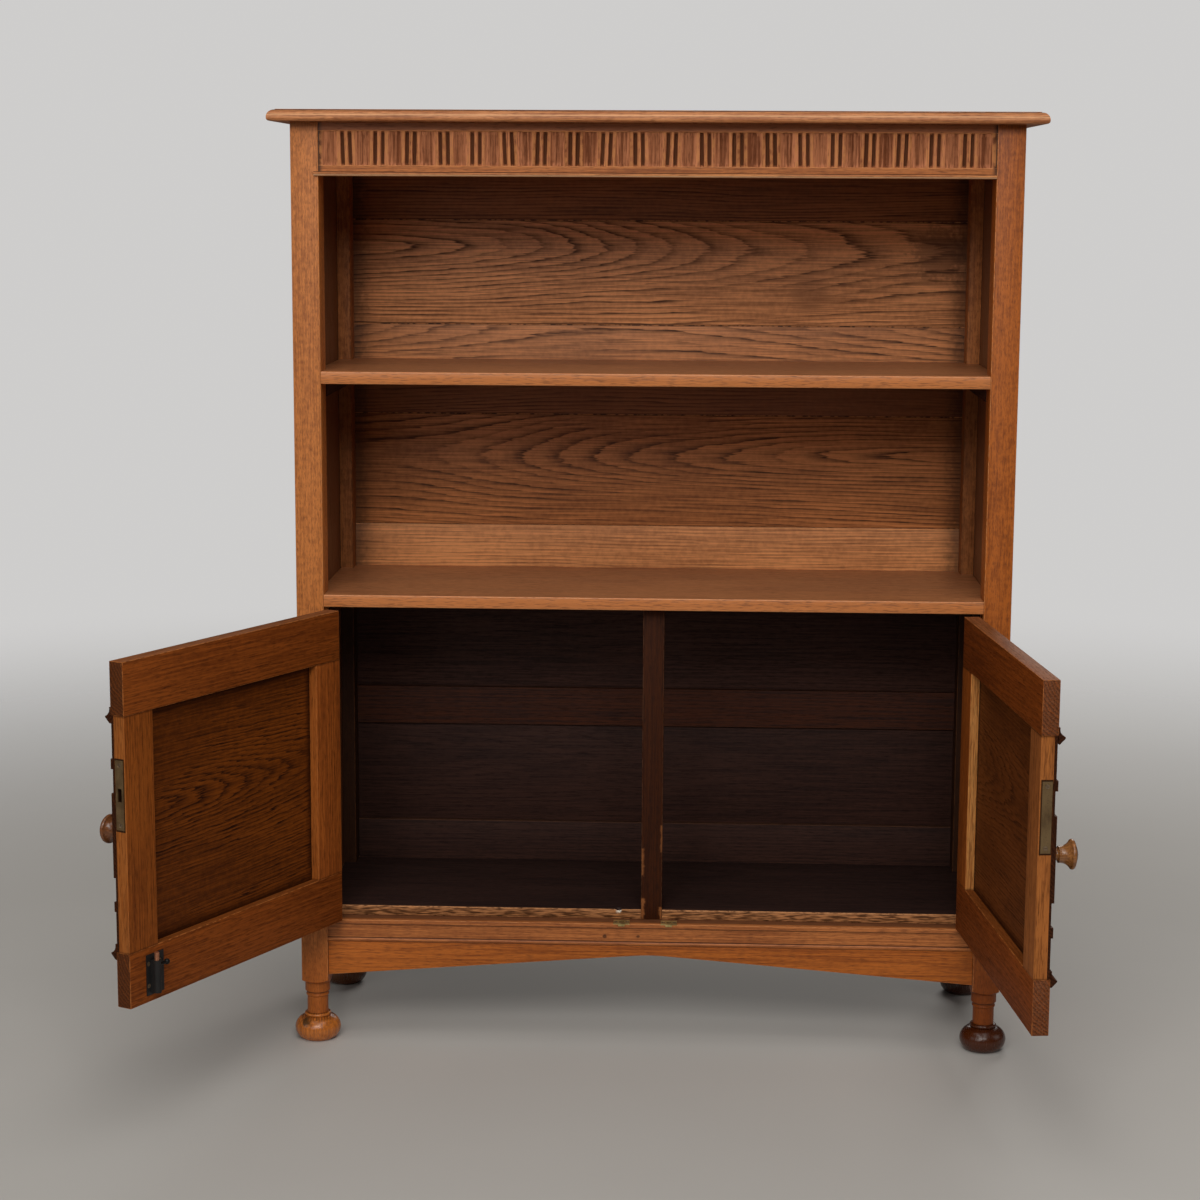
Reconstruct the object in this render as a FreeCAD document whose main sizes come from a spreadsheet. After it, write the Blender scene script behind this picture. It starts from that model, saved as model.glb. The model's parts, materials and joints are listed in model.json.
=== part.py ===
"""Oak bookcase with two open bays over a two-door cupboard, on turned bun feet.

Millimetres, +Z up from the floor, front towards -Y, origin on the floor under the middle of the case.
Door pieces are drawn about their own hinge axis and then swung to the angle at which the doors stand.
"""
import FreeCAD, Part
import os

import Sketcher
from FreeCAD import Placement, Rotation, Vector

doc = FreeCAD.newDocument("Bookcase")

# Driving dimensions, one row of the sheet each
DIMENSIONS = (
    # Case
    ("case_width", 865.0),
    ("case_depth", 272.0),
    ("case_height", 1146.0),
    ("fit_gap", 0.2),
    ("front_setback", 1.0),
    # Moulded top
    ("top_thick", 14.0),
    ("top_side_overhang", 24.5),
    ("top_front_overhang", 22.0),
    ("top_back_overhang", 4.0),
    ("top_ovolo", 8.6),
    ("top_lower_round", 3.6),
    ("top_step_height", 0.8),
    ("top_step_inset", 9.2),
    # Posts and feet
    ("post_width", 33.0),
    ("front_post_depth", 42.0),
    ("rear_post_width", 38.5),
    ("rear_post_depth", 47.0),
    ("post_square_from", 73.0),
    ("pommel_height", 8.0),
    ("collar_radius", 15.5),
    ("collar_from", 62.0),
    ("groove_radius", 13.4),
    ("groove_from", 59.0),
    ("neck_bead_radius", 14.3),
    ("neck_bead_height", 4.0),
    ("neck_radius", 13.0),
    ("foot_radius", 28.5),
    ("foot_sole_radius", 20.0),
    ("foot_widest_at", 15.0),
    ("foot_bun_height", 29.5),
    ("foot_ring_radius", 16.5),
    ("foot_ring_height", 4.0),
    ("spigot_radius", 8.0),
    ("spigot_length", 18.0),
    # Joinery
    ("tenon_length", 15.0),
    ("tenon_thick", 8.0),
    ("tenon_shoulder", 5.0),
    ("panel_groove", 8.0),
    # Sides
    ("side_panel_thick", 8.0),
    ("side_panel_recess", 14.0),
    ("side_rail_thick", 20.0),
    ("side_rail_recess", 6.0),
    ("side_top_rail_height", 60.0),
    ("side_bottom_rail_from", 86.5),
    # Frieze
    ("frieze_height", 63.5),
    ("frieze_thick", 20.0),
    ("frieze_setback", 1.5),
    ("lip_height", 5.5),
    ("lip_projection", 4.0),
    ("lip_post_lap", 5.0),
    ("carving_top_margin", 11.0),
    ("carving_height", 39.5),
    ("carving_tiles", 21),
    ("carving_end_margin", 1.5),
    ("tile_hollow", 1.4),
    ("flute_width", 4.6),
    ("flute_depth", 4.5),
    ("reed_width", 4.4),
    # Shelves and floor
    ("shelf_thick", 15.0),
    ("upper_shelf_top", 837.5),
    ("lower_shelf_top", 566.5),
    ("bearer_width", 12.0),
    ("bearer_height", 18.0),
    ("floor_top", 171.0),
    ("floor_thick", 12.5),
    ("floor_setback", 22.0),
    ("muntin_width", 26.0),
    ("muntin_depth", 22.0),
    ("muntin_offset", 2.1),
    # Bottom rail and apron
    ("rail_height", 28.0),
    ("rail_depth", 33.0),
    ("rail_fillet", 5.5),
    ("rail_bead", 5.0),
    ("rail_field_depth", 2.0),
    ("apron_thick", 18.0),
    ("apron_setback", 4.0),
    ("apron_drop", 44.0),
    ("apron_gable", 31.0),
    ("apron_apex_half", 22.0),
    ("apron_apex_round", 0.9),
    # Back
    ("back_thick", 10.0),
    ("back_recess", 4.0),
    ("back_lap", 11.5),
    ("back_rail_proud", 4.5),
    ("back_bottom", 150.0),
    ("base_rail_high", 223.5),
    ("cupboard_rail_low", 354.9),
    ("cupboard_rail_high", 404.6),
    ("shelf_rail_low", 545.0),
    ("shelf_rail_high", 621.2),
    ("lower_board_high", 766.5),
    ("middle_board_high", 882.3),
    ("upper_board_high", 1015.6),
    # Doors
    ("door_thick", 18.6),
    ("door_setback", 1.5),
    ("door_top_gap", 1.8),
    ("door_bottom_gap", 3.0),
    ("hinge_gap", 1.0),
    ("meeting_gap", 1.6),
    ("door_top_rail", 60.0),
    ("door_bottom_rail", 62.5),
    ("stile_width", 48.0),
    ("stile_tenon", 15.0),
    ("stile_tenon_thick", 6.0),
    ("stile_tenon_margin", 10.0),
    ("door_panel_thick", 4.0),
    ("door_panel_groove", 6.0),
    ("meeting_stile_recess", 4.0),
    ("left_open_angle", 117.5),
    ("right_open_angle", 96.0),
    # Applied mouldings and meeting strip
    ("moulding_height", 18.0),
    ("moulding_proud", 7.3),
    ("moulding_peak_drop", 11.0),
    ("moulding_nose", 1.5),
    ("strip_width", 40.0),
    ("strip_face", 1.0),
    ("strip_sunk", 1.6),
    ("strip_raised", 1.2),
    ("tablet_half", 47.5),
    ("block_from", 74.5),
    ("block_to", 86.0),
    # Knob
    ("knob_from_edge", 23.0),
    ("knob_radius", 16.5),
    ("knob_length", 29.0),
    ("knob_neck_radius", 6.5),
    ("knob_base_radius", 8.5),
    ("knob_shank_radius", 4.5),
    ("knob_shank_length", 14.0),
    # Hinges
    ("hinge_length", 50.0),
    ("hinge_from_end", 78.5),
    ("hinge_proud", 3.3),
    ("knuckle_radius", 3.0),
    ("knuckle_side_gap", 0.2),
    ("pin_radius", 1.2),
    ("pin_gap", 0.05),
    ("pin_head_radius", 2.2),
    ("pin_head_height", 1.5),
    ("leaf_thick", 1.2),
    ("leaf_width", 16.0),
    ("leaf_gap", 0.2),
    # Screws
    ("screw_head_radius", 2.6),
    ("screw_head_height", 1.3),
    ("screw_radius", 1.3),
    ("screw_length", 9.0),
    # Lock and keeper
    ("plate_length", 78.0),
    ("plate_width", 11.0),
    ("plate_thick", 1.5),
    ("plate_screw_margin", 5.5),
    ("lock_above_middle", 46.2),
    ("lock_back_from_front", 10.3),
    ("lock_case_height", 56.0),
    ("lock_case_thick", 7.0),
    ("lock_case_depth", 30.0),
    ("lock_bolt_height", 14.0),
    ("lock_bolt_thick", 4.5),
    ("lock_bolt_length", 22.0),
    ("lock_travel", 8.0),
    ("keeper_gap", 0.5),
    ("keyhole_above_bolt", 15.2),
    ("keyhole_radius", 2.0),
    ("escutcheon_radius", 8.0),
    ("escutcheon_thick", 1.0),
    # Barrel bolt of the left door
    ("bolt_across", 360.5),
    ("bolt_plate_left", 18.0),
    ("bolt_plate_right", 11.0),
    ("bolt_plate_low", 8.0),
    ("bolt_plate_height", 46.5),
    ("bolt_plate_thick", 1.2),
    ("bolt_standoff", 6.5),
    ("bolt_radius", 2.75),
    ("bolt_bore_gap", 0.1),
    ("barrel_radius", 4.6),
    ("barrel_above_floor", 1.0),
    ("barrel_length", 37.0),
    ("bolt_tip_above_floor", 3.0),
    ("bolt_length", 44.0),
    ("bolt_travel", 28.0),
    ("bolt_arm_up", 29.0),
    ("bolt_arm_radius", 1.8),
    ("bolt_arm_length", 17.0),
    ("bolt_knob_radius", 3.4),
    ("bolt_hole_gap", 0.5),
    ("bolt_hole_chip", 6.0),
    # Bullet catches and strikes
    ("left_catch_across", 364.5),
    ("right_catch_across", 375.0),
    ("catch_back_from_front", 8.5),
    ("catch_barrel_radius", 4.8),
    ("catch_barrel_length", 15.0),
    ("catch_mouth", 1.5),
    ("bullet_radius", 3.0),
    ("bullet_collar", 0.8),
    ("bullet_collar_height", 3.0),
    ("bullet_length", 9.0),
    ("bullet_showing", 1.9),
    ("bullet_travel", 2.0),
    ("bullet_gap", 0.05),
    ("strike_width", 20.0),
    ("strike_depth", 17.0),
    ("strike_thick", 1.0),
    ("strike_proud", 0.3),
    ("strike_hole_gap", 0.6),
    ("strike_lip_width", 8.0),
    ("strike_lip_drop", 3.0),
    ("strike_screw_from_middle", 7.0),
)
LEFT, RIGHT = -1, 1
WAYS = {
    "x": Vector(1, 0, 0), "-x": Vector(-1, 0, 0),
    "y": Vector(0, 1, 0), "-y": Vector(0, -1, 0),
    "z": Vector(0, 0, 1), "-z": Vector(0, 0, -1),
}


class Size:
    """A length with its present value and the expression that ties it to the sheet."""

    def __init__(self, text, value):
        self.text = text
        self.value = value

    def joined(self, sign, other, value):
        """Returns the size that a sum or product of this one and another makes."""
        return Size("(%s %s %s)" % (self.text, sign, other.text), value)

    def __add__(self, other):
        other = sized(other)
        return self.joined("+", other, self.value + other.value)

    def __radd__(self, other):
        return sized(other) + self

    def __sub__(self, other):
        other = sized(other)
        return self.joined("-", other, self.value - other.value)

    def __rsub__(self, other):
        return sized(other) - self

    def __mul__(self, other):
        other = sized(other)
        return self.joined("*", other, self.value * other.value)

    def __rmul__(self, other):
        return sized(other) * self

    def __truediv__(self, other):
        other = sized(other)
        return self.joined("/", other, self.value / other.value)

    def __neg__(self):
        return sized(0) - self


class Sheet:
    """The spreadsheet of driving dimensions, each read as an attribute."""

    def __init__(self, rows):
        cells = doc.addObject("Spreadsheet::Sheet", "Sizes")
        for number, (alias, value) in enumerate(rows, start=1):
            cells.set("A%d" % number, alias.replace("_", " "))
            cells.set("B%d" % number, str(value))
            cells.setAlias("B%d" % number, alias)
            setattr(self, alias, Size("Sizes." + alias, value))


def sized(length):
    """Returns a plain number as a size, and a size as it is."""
    if isinstance(length, Size):
        return length
    return Size(repr(length), length)


s = Sheet(DIMENSIONS)
doc.recompute()
nodes = []


# Placing and combining

def bind(thing, prop, length):
    """Ties one property of an object to a size."""
    thing.setExpression(prop, sized(length).text)


def put(thing, x, y, z):
    """Ties the place of an object to three sizes."""
    for name, length in zip("xyz", (x, y, z)):
        bind(thing, "Placement.Base." + name, length)


def span(side, near, far):
    """Returns the low and high end of a stretch measured outwards from a line, on one side of it."""
    if side == RIGHT:
        return (near, far)
    return (-sized(far), -sized(near))


def along(side, length):
    """Returns a distance measured to one side as a signed size."""
    return sized(length) if side == RIGHT else -sized(length)


def middle(centre, width):
    """Returns the low and high end of a stretch about its middle."""
    return (centre - width / 2, centre + width / 2)


def wider(stretch, gap):
    """Returns a stretch with a gap added at both ends."""
    return (stretch[0] - gap, stretch[1] + gap)


def block(name, x, y, z):
    """Makes a box from its low and high ends along each axis."""
    box = doc.addObject("Part::Box", name)
    for prop, (low, high) in zip(("Length", "Width", "Height"), (x, y, z)):
        bind(box, prop, sized(high) - low)
    put(box, x[0], y[0], z[0])
    return box


def round_bar(name, radius, length, start, way="z"):
    """Makes a cylinder that runs from a start point one way."""
    bar = doc.addObject("Part::Cylinder", name)
    bar.Placement = Placement(Vector(), Rotation(Vector(0, 0, 1), WAYS[way]))
    bind(bar, "Radius", radius)
    bind(bar, "Height", length)
    put(bar, *start)
    return bar


def taper(name, first, last, length, start, way="z"):
    """Makes a cone that runs from its first radius to its last one way."""
    cone = doc.addObject("Part::Cone", name)
    cone.Placement = Placement(Vector(), Rotation(Vector(0, 0, 1), WAYS[way]))
    bind(cone, "Radius1", first)
    bind(cone, "Radius2", last)
    bind(cone, "Height", length)
    put(cone, *start)
    return cone


def fuse(name, pieces):
    """Joins pieces of one solid."""
    union = doc.addObject("Part::MultiFuse", name)
    union.Shapes = pieces
    union.Refine = True
    return union


def cut(name, base, tools):
    """Takes one or more tools out of a piece."""
    trimmed = doc.addObject("Part::Cut", name)
    trimmed.Base = base
    trimmed.Tool = tools[0] if len(tools) == 1 else fuse(name + "_tools", tools)
    return trimmed


def group(name, pieces):
    """Holds separate solids, or one that needs a place of its own, as one sub-part."""
    held = doc.addObject("Part::Compound", name)
    held.Links = pieces
    return held


def node(piece, label):
    """Names a finished sub-part after its file."""
    piece.Label = label
    nodes.append(piece)
    return piece


# Sketched bodies

class SketchedBody:
    """A body whose features come from fully dimensioned sketches."""

    def __init__(self, name):
        self.body = doc.addObject("PartDesign::Body", name)
        self.name = name

    def plane(self, role):
        """Returns one of the body's own origin planes."""
        return next(item for item in self.body.Origin.OriginFeatures if item.Role == role)

    def sketch(self, name, role, offset, loops):
        """Draws closed loops on an origin plane.

        Each loop is a list of corners (x, y), or (x, y, via) where the edge to the next corner is an arc
        through the point via. The offset moves the sketch along its own x, y and normal.
        """
        sketch = self.body.newObject("Sketcher::SketchObject", self.name + "_" + name)
        sketch.AttachmentSupport = [(self.plane(role), "")]
        sketch.MapMode = "FlatFace"
        for axis, length in zip("xyz", offset):
            bind(sketch, "AttachmentOffset.Base." + axis, length)
        for loop in loops:
            self.draw(sketch, loop)
        return sketch

    def draw(self, sketch, loop):
        """Adds one closed loop with a dimension on every corner and arc."""
        corners = [Vector(sized(c[0]).value, sized(c[1]).value, 0) for c in loop]
        edges = []
        for number, corner in enumerate(loop):
            start, end = corners[number], corners[(number + 1) % len(loop)]
            if len(corner) == 3:
                via = Vector(sized(corner[2][0]).value, sized(corner[2][1]).value, 0)
                edge = sketch.addGeometry(Part.Arc(start, via, end), False)
            else:
                edge = sketch.addGeometry(Part.LineSegment(start, end), False)
            near_first = (sketch.getPoint(edge, 1) - start).Length < (sketch.getPoint(edge, 2) - start).Length
            edges.append((edge, 1, 2) if near_first else (edge, 2, 1))
        for number, corner in enumerate(loop):
            edge, first, last = edges[number]
            following, next_first, _ = edges[(number + 1) % len(loop)]
            sketch.addConstraint(Sketcher.Constraint("Coincident", edge, last, following, next_first))
            self.fix(sketch, edge, first, corner[0], corner[1])
            if len(corner) == 3:
                via = Vector(sized(corner[2][0]).value, sized(corner[2][1]).value, 0)
                point = sketch.addGeometry(Part.Point(via), True)
                self.fix(sketch, point, 1, *corner[2])
                sketch.addConstraint(Sketcher.Constraint("PointOnObject", point, 1, edge))

    def fix(self, sketch, geometry, point, x, y):
        """Dimensions one sketch point from the sketch's origin."""
        for kind, length in (("DistanceX", sized(x)), ("DistanceY", sized(y))):
            rule = Sketcher.Constraint(kind, -1, 1, geometry, point, float(length.value))
            number = sketch.addConstraint(rule)
            sketch.setExpression("Constraints[%d]" % number, length.text)

    def feature(self, kind, name, sketch):
        """Adds one feature of a sketch to the body."""
        made = self.body.newObject("PartDesign::" + kind, self.name + "_" + name)
        made.Profile = sketch
        return made

    def pad(self, name, sketch, length):
        """Raises a sketch along its normal."""
        made = self.feature("Pad", name, sketch)
        bind(made, "Length", length)
        return made

    def pocket(self, name, sketch, length):
        """Sinks a sketch along its normal."""
        made = self.feature("Pocket", name, sketch)
        made.Reversed = True
        bind(made, "Length", length)
        return made

    def turn(self, kind, name, sketch, axis):
        """Turns a sketch about one of its own axes."""
        made = self.feature(kind, name, sketch)
        made.ReferenceAxis = (sketch, [axis])
        made.Angle = 360
        return made

    def soften(self, name, base, radius, chosen):
        """Rounds the edges of a feature whose two ends both pass a test."""
        doc.recompute()
        names = []
        for number, edge in enumerate(base.Shape.Edges, start=1):
            if chosen([vertex.Point for vertex in edge.Vertexes]):
                names.append("Edge%d" % number)
        made = self.body.newObject("PartDesign::Fillet", self.name + "_" + name)
        made.Base = (base, names)
        bind(made, "Radius", radius)
        return made


def rectangle(x, y):
    """Returns the corners of a rectangle from its low and high ends."""
    return [(x[0], y[0]), (x[1], y[0]), (x[1], y[1]), (x[0], y[1])]


def prism_across(name, start, length, corners):
    """Makes a length of moulding along X from its section in Y and Z."""
    shape = SketchedBody(name)
    outline = shape.sketch("section", "YZ_Plane", (0, 0, start), [corners])
    shape.pad("run", outline, length)
    return shape.body


# Levels and lines that several pieces share

front = -(s.case_depth / 2)
back = s.case_depth / 2
half_width = s.case_width / 2
under_top = s.case_height - s.top_thick
post_inside = half_width - s.post_width
rear_post_inside = half_width - s.rear_post_width
front_post_y = (front, front + s.front_post_depth)
rear_post_y = (back - s.rear_post_depth, back)
front_post_x = {side: span(side, post_inside, half_width) for side in (LEFT, RIGHT)}
rear_post_x = {side: span(side, rear_post_inside, half_width) for side in (LEFT, RIGHT)}

panel_inside = half_width - s.side_panel_recess - s.side_panel_thick
panel_x = {side: span(side, panel_inside, panel_inside + s.side_panel_thick) for side in (LEFT, RIGHT)}
panel_y = (front_post_y[1] - s.panel_groove, rear_post_y[0] + s.panel_groove)
side_rail_outside = half_width - s.side_rail_recess
side_rail_x = {side: span(side, side_rail_outside - s.side_rail_thick, side_rail_outside)
               for side in (LEFT, RIGHT)}

floor_low = s.floor_top - s.floor_thick
ledge = floor_low
rail_low = ledge - s.rail_height
rail_y = (front + s.front_setback, front + s.front_setback + s.rail_depth)
side_top_rail_z = (under_top - s.side_top_rail_height, under_top)
side_bottom_rail_z = (s.side_bottom_rail_from, ledge)
panel_z = (ledge - s.panel_groove, side_top_rail_z[0] + s.panel_groove)

frieze_y = (front + s.frieze_setback, front + s.frieze_setback + s.frieze_thick)
frieze_z = (under_top - s.frieze_height, under_top)

back_y = (back - s.back_recess - s.back_thick, back - s.back_recess)
back_half = rear_post_inside + s.back_lap
back_rail_front = back_y[0] - s.back_rail_proud

shelf_half = panel_inside - s.fit_gap
muntin_x = middle(s.muntin_offset, s.muntin_width)
muntin_y = (front + s.floor_setback, front + s.floor_setback + s.muntin_depth)

door_low = ledge + s.door_bottom_gap
door_high = s.lower_shelf_top - s.shelf_thick - s.door_top_gap
door_middle = (door_low + door_high) / 2
hinge_across = post_inside - s.hinge_gap / 2
hinge_y = front - s.hinge_proud
# Measured from the hinge axis: across the door, and from its front face to its back
door_near = s.hinge_gap / 2
door_far = hinge_across - s.meeting_gap / 2
door_front = s.door_setback + s.hinge_proud
door_back = door_front + s.door_thick
hinge_low = {"lower": door_low + s.hinge_from_end,
             "upper": door_high - s.hinge_from_end - s.hinge_length}

lock_height = door_middle + s.lock_above_middle
lock_depth = door_front + s.lock_back_from_front
bolt_depth = door_back + s.bolt_standoff
bolt_tip = s.floor_top + s.bolt_tip_above_floor
bolt_x = s.bolt_across - hinge_across
bolt_y = hinge_y + bolt_depth
catch_across = {LEFT: s.left_catch_across, RIGHT: s.right_catch_across}
catch_depth = door_front + s.catch_back_from_front
catch_y = hinge_y + catch_depth


# Screws and tenons

def screw(name, head, way, gap=0):
    """Makes a countersunk screw from the middle of its head's top face.

    With a gap it is the room that the screw takes up in what it holds.
    """
    cone = taper(name + "_head", s.screw_head_radius + gap, s.screw_radius + gap,
                 s.screw_head_height + gap, head, way)
    shank = round_bar(name + "_shank", s.screw_radius + gap,
                      s.screw_head_height + s.screw_length + gap * 2, head, way)
    return fuse(name, [cone, shank])


def screw_room(name, head, way):
    """Makes the hole and countersink that a screw sits in."""
    return screw(name, head, way, s.fit_gap / 2)


def end_tenons(name, x, y, z, gap=0):
    """Makes the two tenons of a rail that runs along X, or with a gap their mortises."""
    thick = middle((y[0] + y[1]) / 2, s.tenon_thick)
    tall = (z[0] + s.tenon_shoulder, z[1] - s.tenon_shoulder)
    return {
        LEFT: block(name + "_left", (x[0] - s.tenon_length - gap, x[0]), wider(thick, gap), wider(tall, gap)),
        RIGHT: block(name + "_right", (x[1], x[1] + s.tenon_length + gap), wider(thick, gap), wider(tall, gap)),
    }


def side_tenons(name, side, z, gap=0):
    """Makes the front and rear tenons of a side rail, or with a gap their mortises."""
    thick = middle(along(side, side_rail_outside - s.side_rail_thick / 2), s.tenon_thick)
    tall = (z[0] + s.tenon_shoulder, z[1] - s.tenon_shoulder)
    front_end = (front_post_y[1] - s.tenon_length - gap, front_post_y[1])
    rear_end = (rear_post_y[0], rear_post_y[0] + s.tenon_length + gap)
    return {
        "front": block(name + "_front", wider(thick, gap), front_end, wider(tall, gap)),
        "rear": block(name + "_rear", wider(thick, gap), rear_end, wider(tall, gap)),
    }


# Posts, feet and top

def turned_post(name, x, y):
    """Makes a post: square above, turned to a collar, a bead and a neck below."""
    axis_x, axis_y = (x[0] + x[1]) / 2, (y[0] + y[1]) / 2
    shape = SketchedBody(name)
    plan = shape.sketch("plan", "XY_Plane", (0, 0, s.post_square_from), [rectangle(x, y)])
    shape.pad("square", plan, under_top - s.post_square_from)
    neck_low = s.foot_bun_height + s.foot_ring_height
    bead_low = s.groove_from - s.neck_bead_height
    bead_middle = s.groove_from - s.neck_bead_height / 2
    spigot_room = s.spigot_radius + s.fit_gap
    spigot_top = neck_low + s.spigot_length + s.fit_gap
    profile = shape.sketch("turning", "XZ_Plane", (axis_x, 0, -axis_y), [[
        (spigot_room, neck_low),
        (s.neck_radius, neck_low),
        (s.neck_radius, bead_low, (s.neck_bead_radius, bead_middle)),
        (s.neck_radius, s.groove_from),
        (s.groove_radius, s.groove_from),
        (s.groove_radius, s.collar_from),
        (s.collar_radius, s.collar_from),
        (s.collar_radius, s.post_square_from + 1),
        (0, s.post_square_from + 1),
        (0, spigot_top),
        (spigot_room, spigot_top),
    ]])
    shape.turn("Revolution", "neck", profile, "V_Axis")
    clear = (x[1] - x[0]) + (y[1] - y[0])
    pommel = shape.sketch("pommel", "XZ_Plane", (axis_x, 0, -axis_y), [[
        (s.collar_radius, s.post_square_from),
        (clear, s.post_square_from),
        (clear, s.post_square_from + s.pommel_height * (clear - s.collar_radius) / s.neck_radius),
    ]])
    shape.turn("Groove", "shoulder", pommel, "V_Axis")
    return shape.body


def front_post(side, name):
    """Makes a front post with its mortises, panel groove and hinge seats."""
    tools = [
        end_tenons(name + "_frieze", post_to_post, frieze_y, frieze_z, s.fit_gap)[side],
        end_tenons(name + "_rail", post_to_post, rail_y, (rail_low, ledge), s.fit_gap)[side],
        side_tenons(name + "_top", side, side_top_rail_z, s.fit_gap)["front"],
        side_tenons(name + "_bottom", side, side_bottom_rail_z, s.fit_gap)["front"],
        block(name + "_groove", wider(panel_x[side], s.fit_gap), wider(panel_y, s.fit_gap),
              wider(panel_z, s.fit_gap)),
    ]
    leaf = span(side, hinge_across, hinge_across + s.leaf_gap + s.leaf_thick)
    for place, low in hinge_low.items():
        tools.append(block("%s_%s_seat" % (name, place), leaf, (hinge_y, front + s.leaf_width + s.fit_gap),
                           wider((low, low + s.hinge_length), s.fit_gap)))
        for number, head in enumerate(post_leaf_screws(side, low)):
            tools.append(screw_room("%s_%s_room%d" % (name, place, number), head, outwards(side)))
    blank = turned_post(name + "_blank", front_post_x[side], front_post_y)
    return cut(name, blank, tools)


def rear_post(side, name):
    """Makes a rear post with its mortises, panel groove and the rebate for the back boards."""
    tools = [
        side_tenons(name + "_top", side, side_top_rail_z, s.fit_gap)["rear"],
        side_tenons(name + "_bottom", side, side_bottom_rail_z, s.fit_gap)["rear"],
        block(name + "_groove", wider(panel_x[side], s.fit_gap), wider(panel_y, s.fit_gap),
              wider(panel_z, s.fit_gap)),
        block(name + "_rebate", span(side, rear_post_inside - 1, back_half + s.fit_gap), (back_y[0], back + 1),
              (s.back_bottom - s.fit_gap, under_top + 1)),
    ]
    blank = turned_post(name + "_blank", rear_post_x[side], rear_post_y)
    return cut(name, blank, tools)


def bun_foot(name, x, y):
    """Makes a turned bun with a ring on top and a spigot that plugs into its post."""
    shape = SketchedBody(name)
    ring_top = s.foot_bun_height + s.foot_ring_height
    ring_middle = s.foot_bun_height + s.foot_ring_height / 2
    profile = shape.sketch("turning", "XZ_Plane", ((x[0] + x[1]) / 2, 0, -(y[0] + y[1]) / 2), [[
        (0, 0),
        (s.foot_sole_radius, 0, (s.foot_radius - 1.2, s.foot_widest_at * 0.55)),
        (s.foot_radius, s.foot_widest_at, (s.foot_radius - 3.4, s.foot_bun_height * 0.8)),
        (s.foot_ring_radius - 1.5, s.foot_bun_height, (s.foot_ring_radius, ring_middle)),
        (s.foot_ring_radius - 1.5, ring_top),
        (s.spigot_radius, ring_top),
        (s.spigot_radius, ring_top + s.spigot_length),
        (0, ring_top + s.spigot_length),
    ]])
    shape.turn("Revolution", "bun", profile, "V_Axis")
    return shape.body


def top_board():
    """Makes the top with its ovolo front and sides under a small step."""
    shape = SketchedBody("top_board")
    half = half_width + s.top_side_overhang
    y = (front - s.top_front_overhang, back + s.top_back_overhang)
    lower = s.top_thick - s.top_step_height
    plan = shape.sketch("plan", "XY_Plane", (0, 0, under_top), [rectangle((-half, half), y)])
    slab = shape.pad("slab", plan, lower)

    def shown(level):
        """Returns a test for the front and side edges at one level."""
        def test(ends):
            level_ends = all(abs(end.z - level.value) < 0.01 for end in ends)
            return level_ends and any(end.y < y[1].value - 0.01 for end in ends)
        return test
    ovolo = shape.soften("ovolo", slab, s.top_ovolo, shown(under_top + lower))
    shape.soften("lower_round", ovolo, s.top_lower_round, shown(under_top))
    inner = half - s.top_step_inset
    step = rectangle((-inner, inner), (y[0] + s.top_step_inset, y[1]))
    raised = shape.sketch("step_plan", "XY_Plane", (0, 0, under_top + lower - 1), [step])
    shape.pad("step", raised, s.top_step_height + 1)
    return shape.body


# Frieze, bottom rail and apron

post_to_post = (-post_inside, post_inside)


def frieze_rail():
    """Makes the frieze rail with its band of flutes, reeds and hollow tiles."""
    shape = SketchedBody("frieze_blank")
    plan = shape.sketch("plan", "XY_Plane", (0, 0, frieze_z[0]), [rectangle(post_to_post, frieze_y)])
    shape.pad("rail", plan, s.frieze_height)
    first = s.carving_end_margin - post_inside
    between = s.flute_width * 2 + s.reed_width
    tile = ((post_inside - s.carving_end_margin) * 2 - between * (s.carving_tiles - 1)) / s.carving_tiles
    pitch = tile + between
    face, outside = frieze_y[0], frieze_y[0] - 1
    hollows = []
    for start in (first, first + pitch * (s.carving_tiles - 1)):
        ends = (start + tile * 0.12, start + tile * 0.88)
        hollows.append([(ends[0], outside), (ends[1], outside),
                        (ends[1], face, (start + tile / 2, face + s.tile_hollow)), (ends[0], face)])
    straight = face + s.flute_depth - s.flute_width / 2
    loops = [hollows[0]]
    for low in (first + tile, first + tile + s.flute_width + s.reed_width):
        high = low + s.flute_width
        bottom = (low + s.flute_width / 2, face + s.flute_depth)
        loops.append([(low, outside), (high, outside), (high, straight, bottom), (low, straight)])
    band = under_top - s.carving_top_margin - s.carving_height
    shape.pocket("last_hollow", shape.sketch("last_tile", "XY_Plane", (0, 0, band), [hollows[1]]), s.carving_height)
    unit = shape.sketch("unit", "XY_Plane", (0, 0, band), loops)
    carved = shape.pocket("carving", unit, s.carving_height)
    doc.recompute()
    row = shape.body.newObject("PartDesign::LinearPattern", "frieze_row")
    row.Originals = [carved]
    row.Direction = (unit, ["H_Axis"])
    bind(row, "Length", pitch * (s.carving_tiles - 2))
    bind(row, "Occurrences", s.carving_tiles - 1)
    shape.body.Tip = row
    tenons = end_tenons("frieze_tenon", post_to_post, frieze_y, frieze_z)
    return fuse("frieze_rail", [shape.body, tenons[LEFT], tenons[RIGHT]])


def frieze_lip():
    """Makes the bead under the carving, which laps the left post."""
    low, high = frieze_z[0], frieze_z[0] + s.lip_height
    nose = front - s.lip_projection
    shoulder = nose + s.lip_height / 2
    start = -post_inside - s.lip_post_lap
    bead = prism_across("lip_bead", start, post_inside - s.fit_gap - start, [
        (front, low), (front, high), (shoulder, high, (nose, (low + high) / 2)), (shoulder, low)])
    seat = block("lip_seat", wider(post_to_post, -s.fit_gap), (front - 0.5, frieze_y[0]), (low, high))
    return fuse("frieze_lip", [bead, seat])


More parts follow.
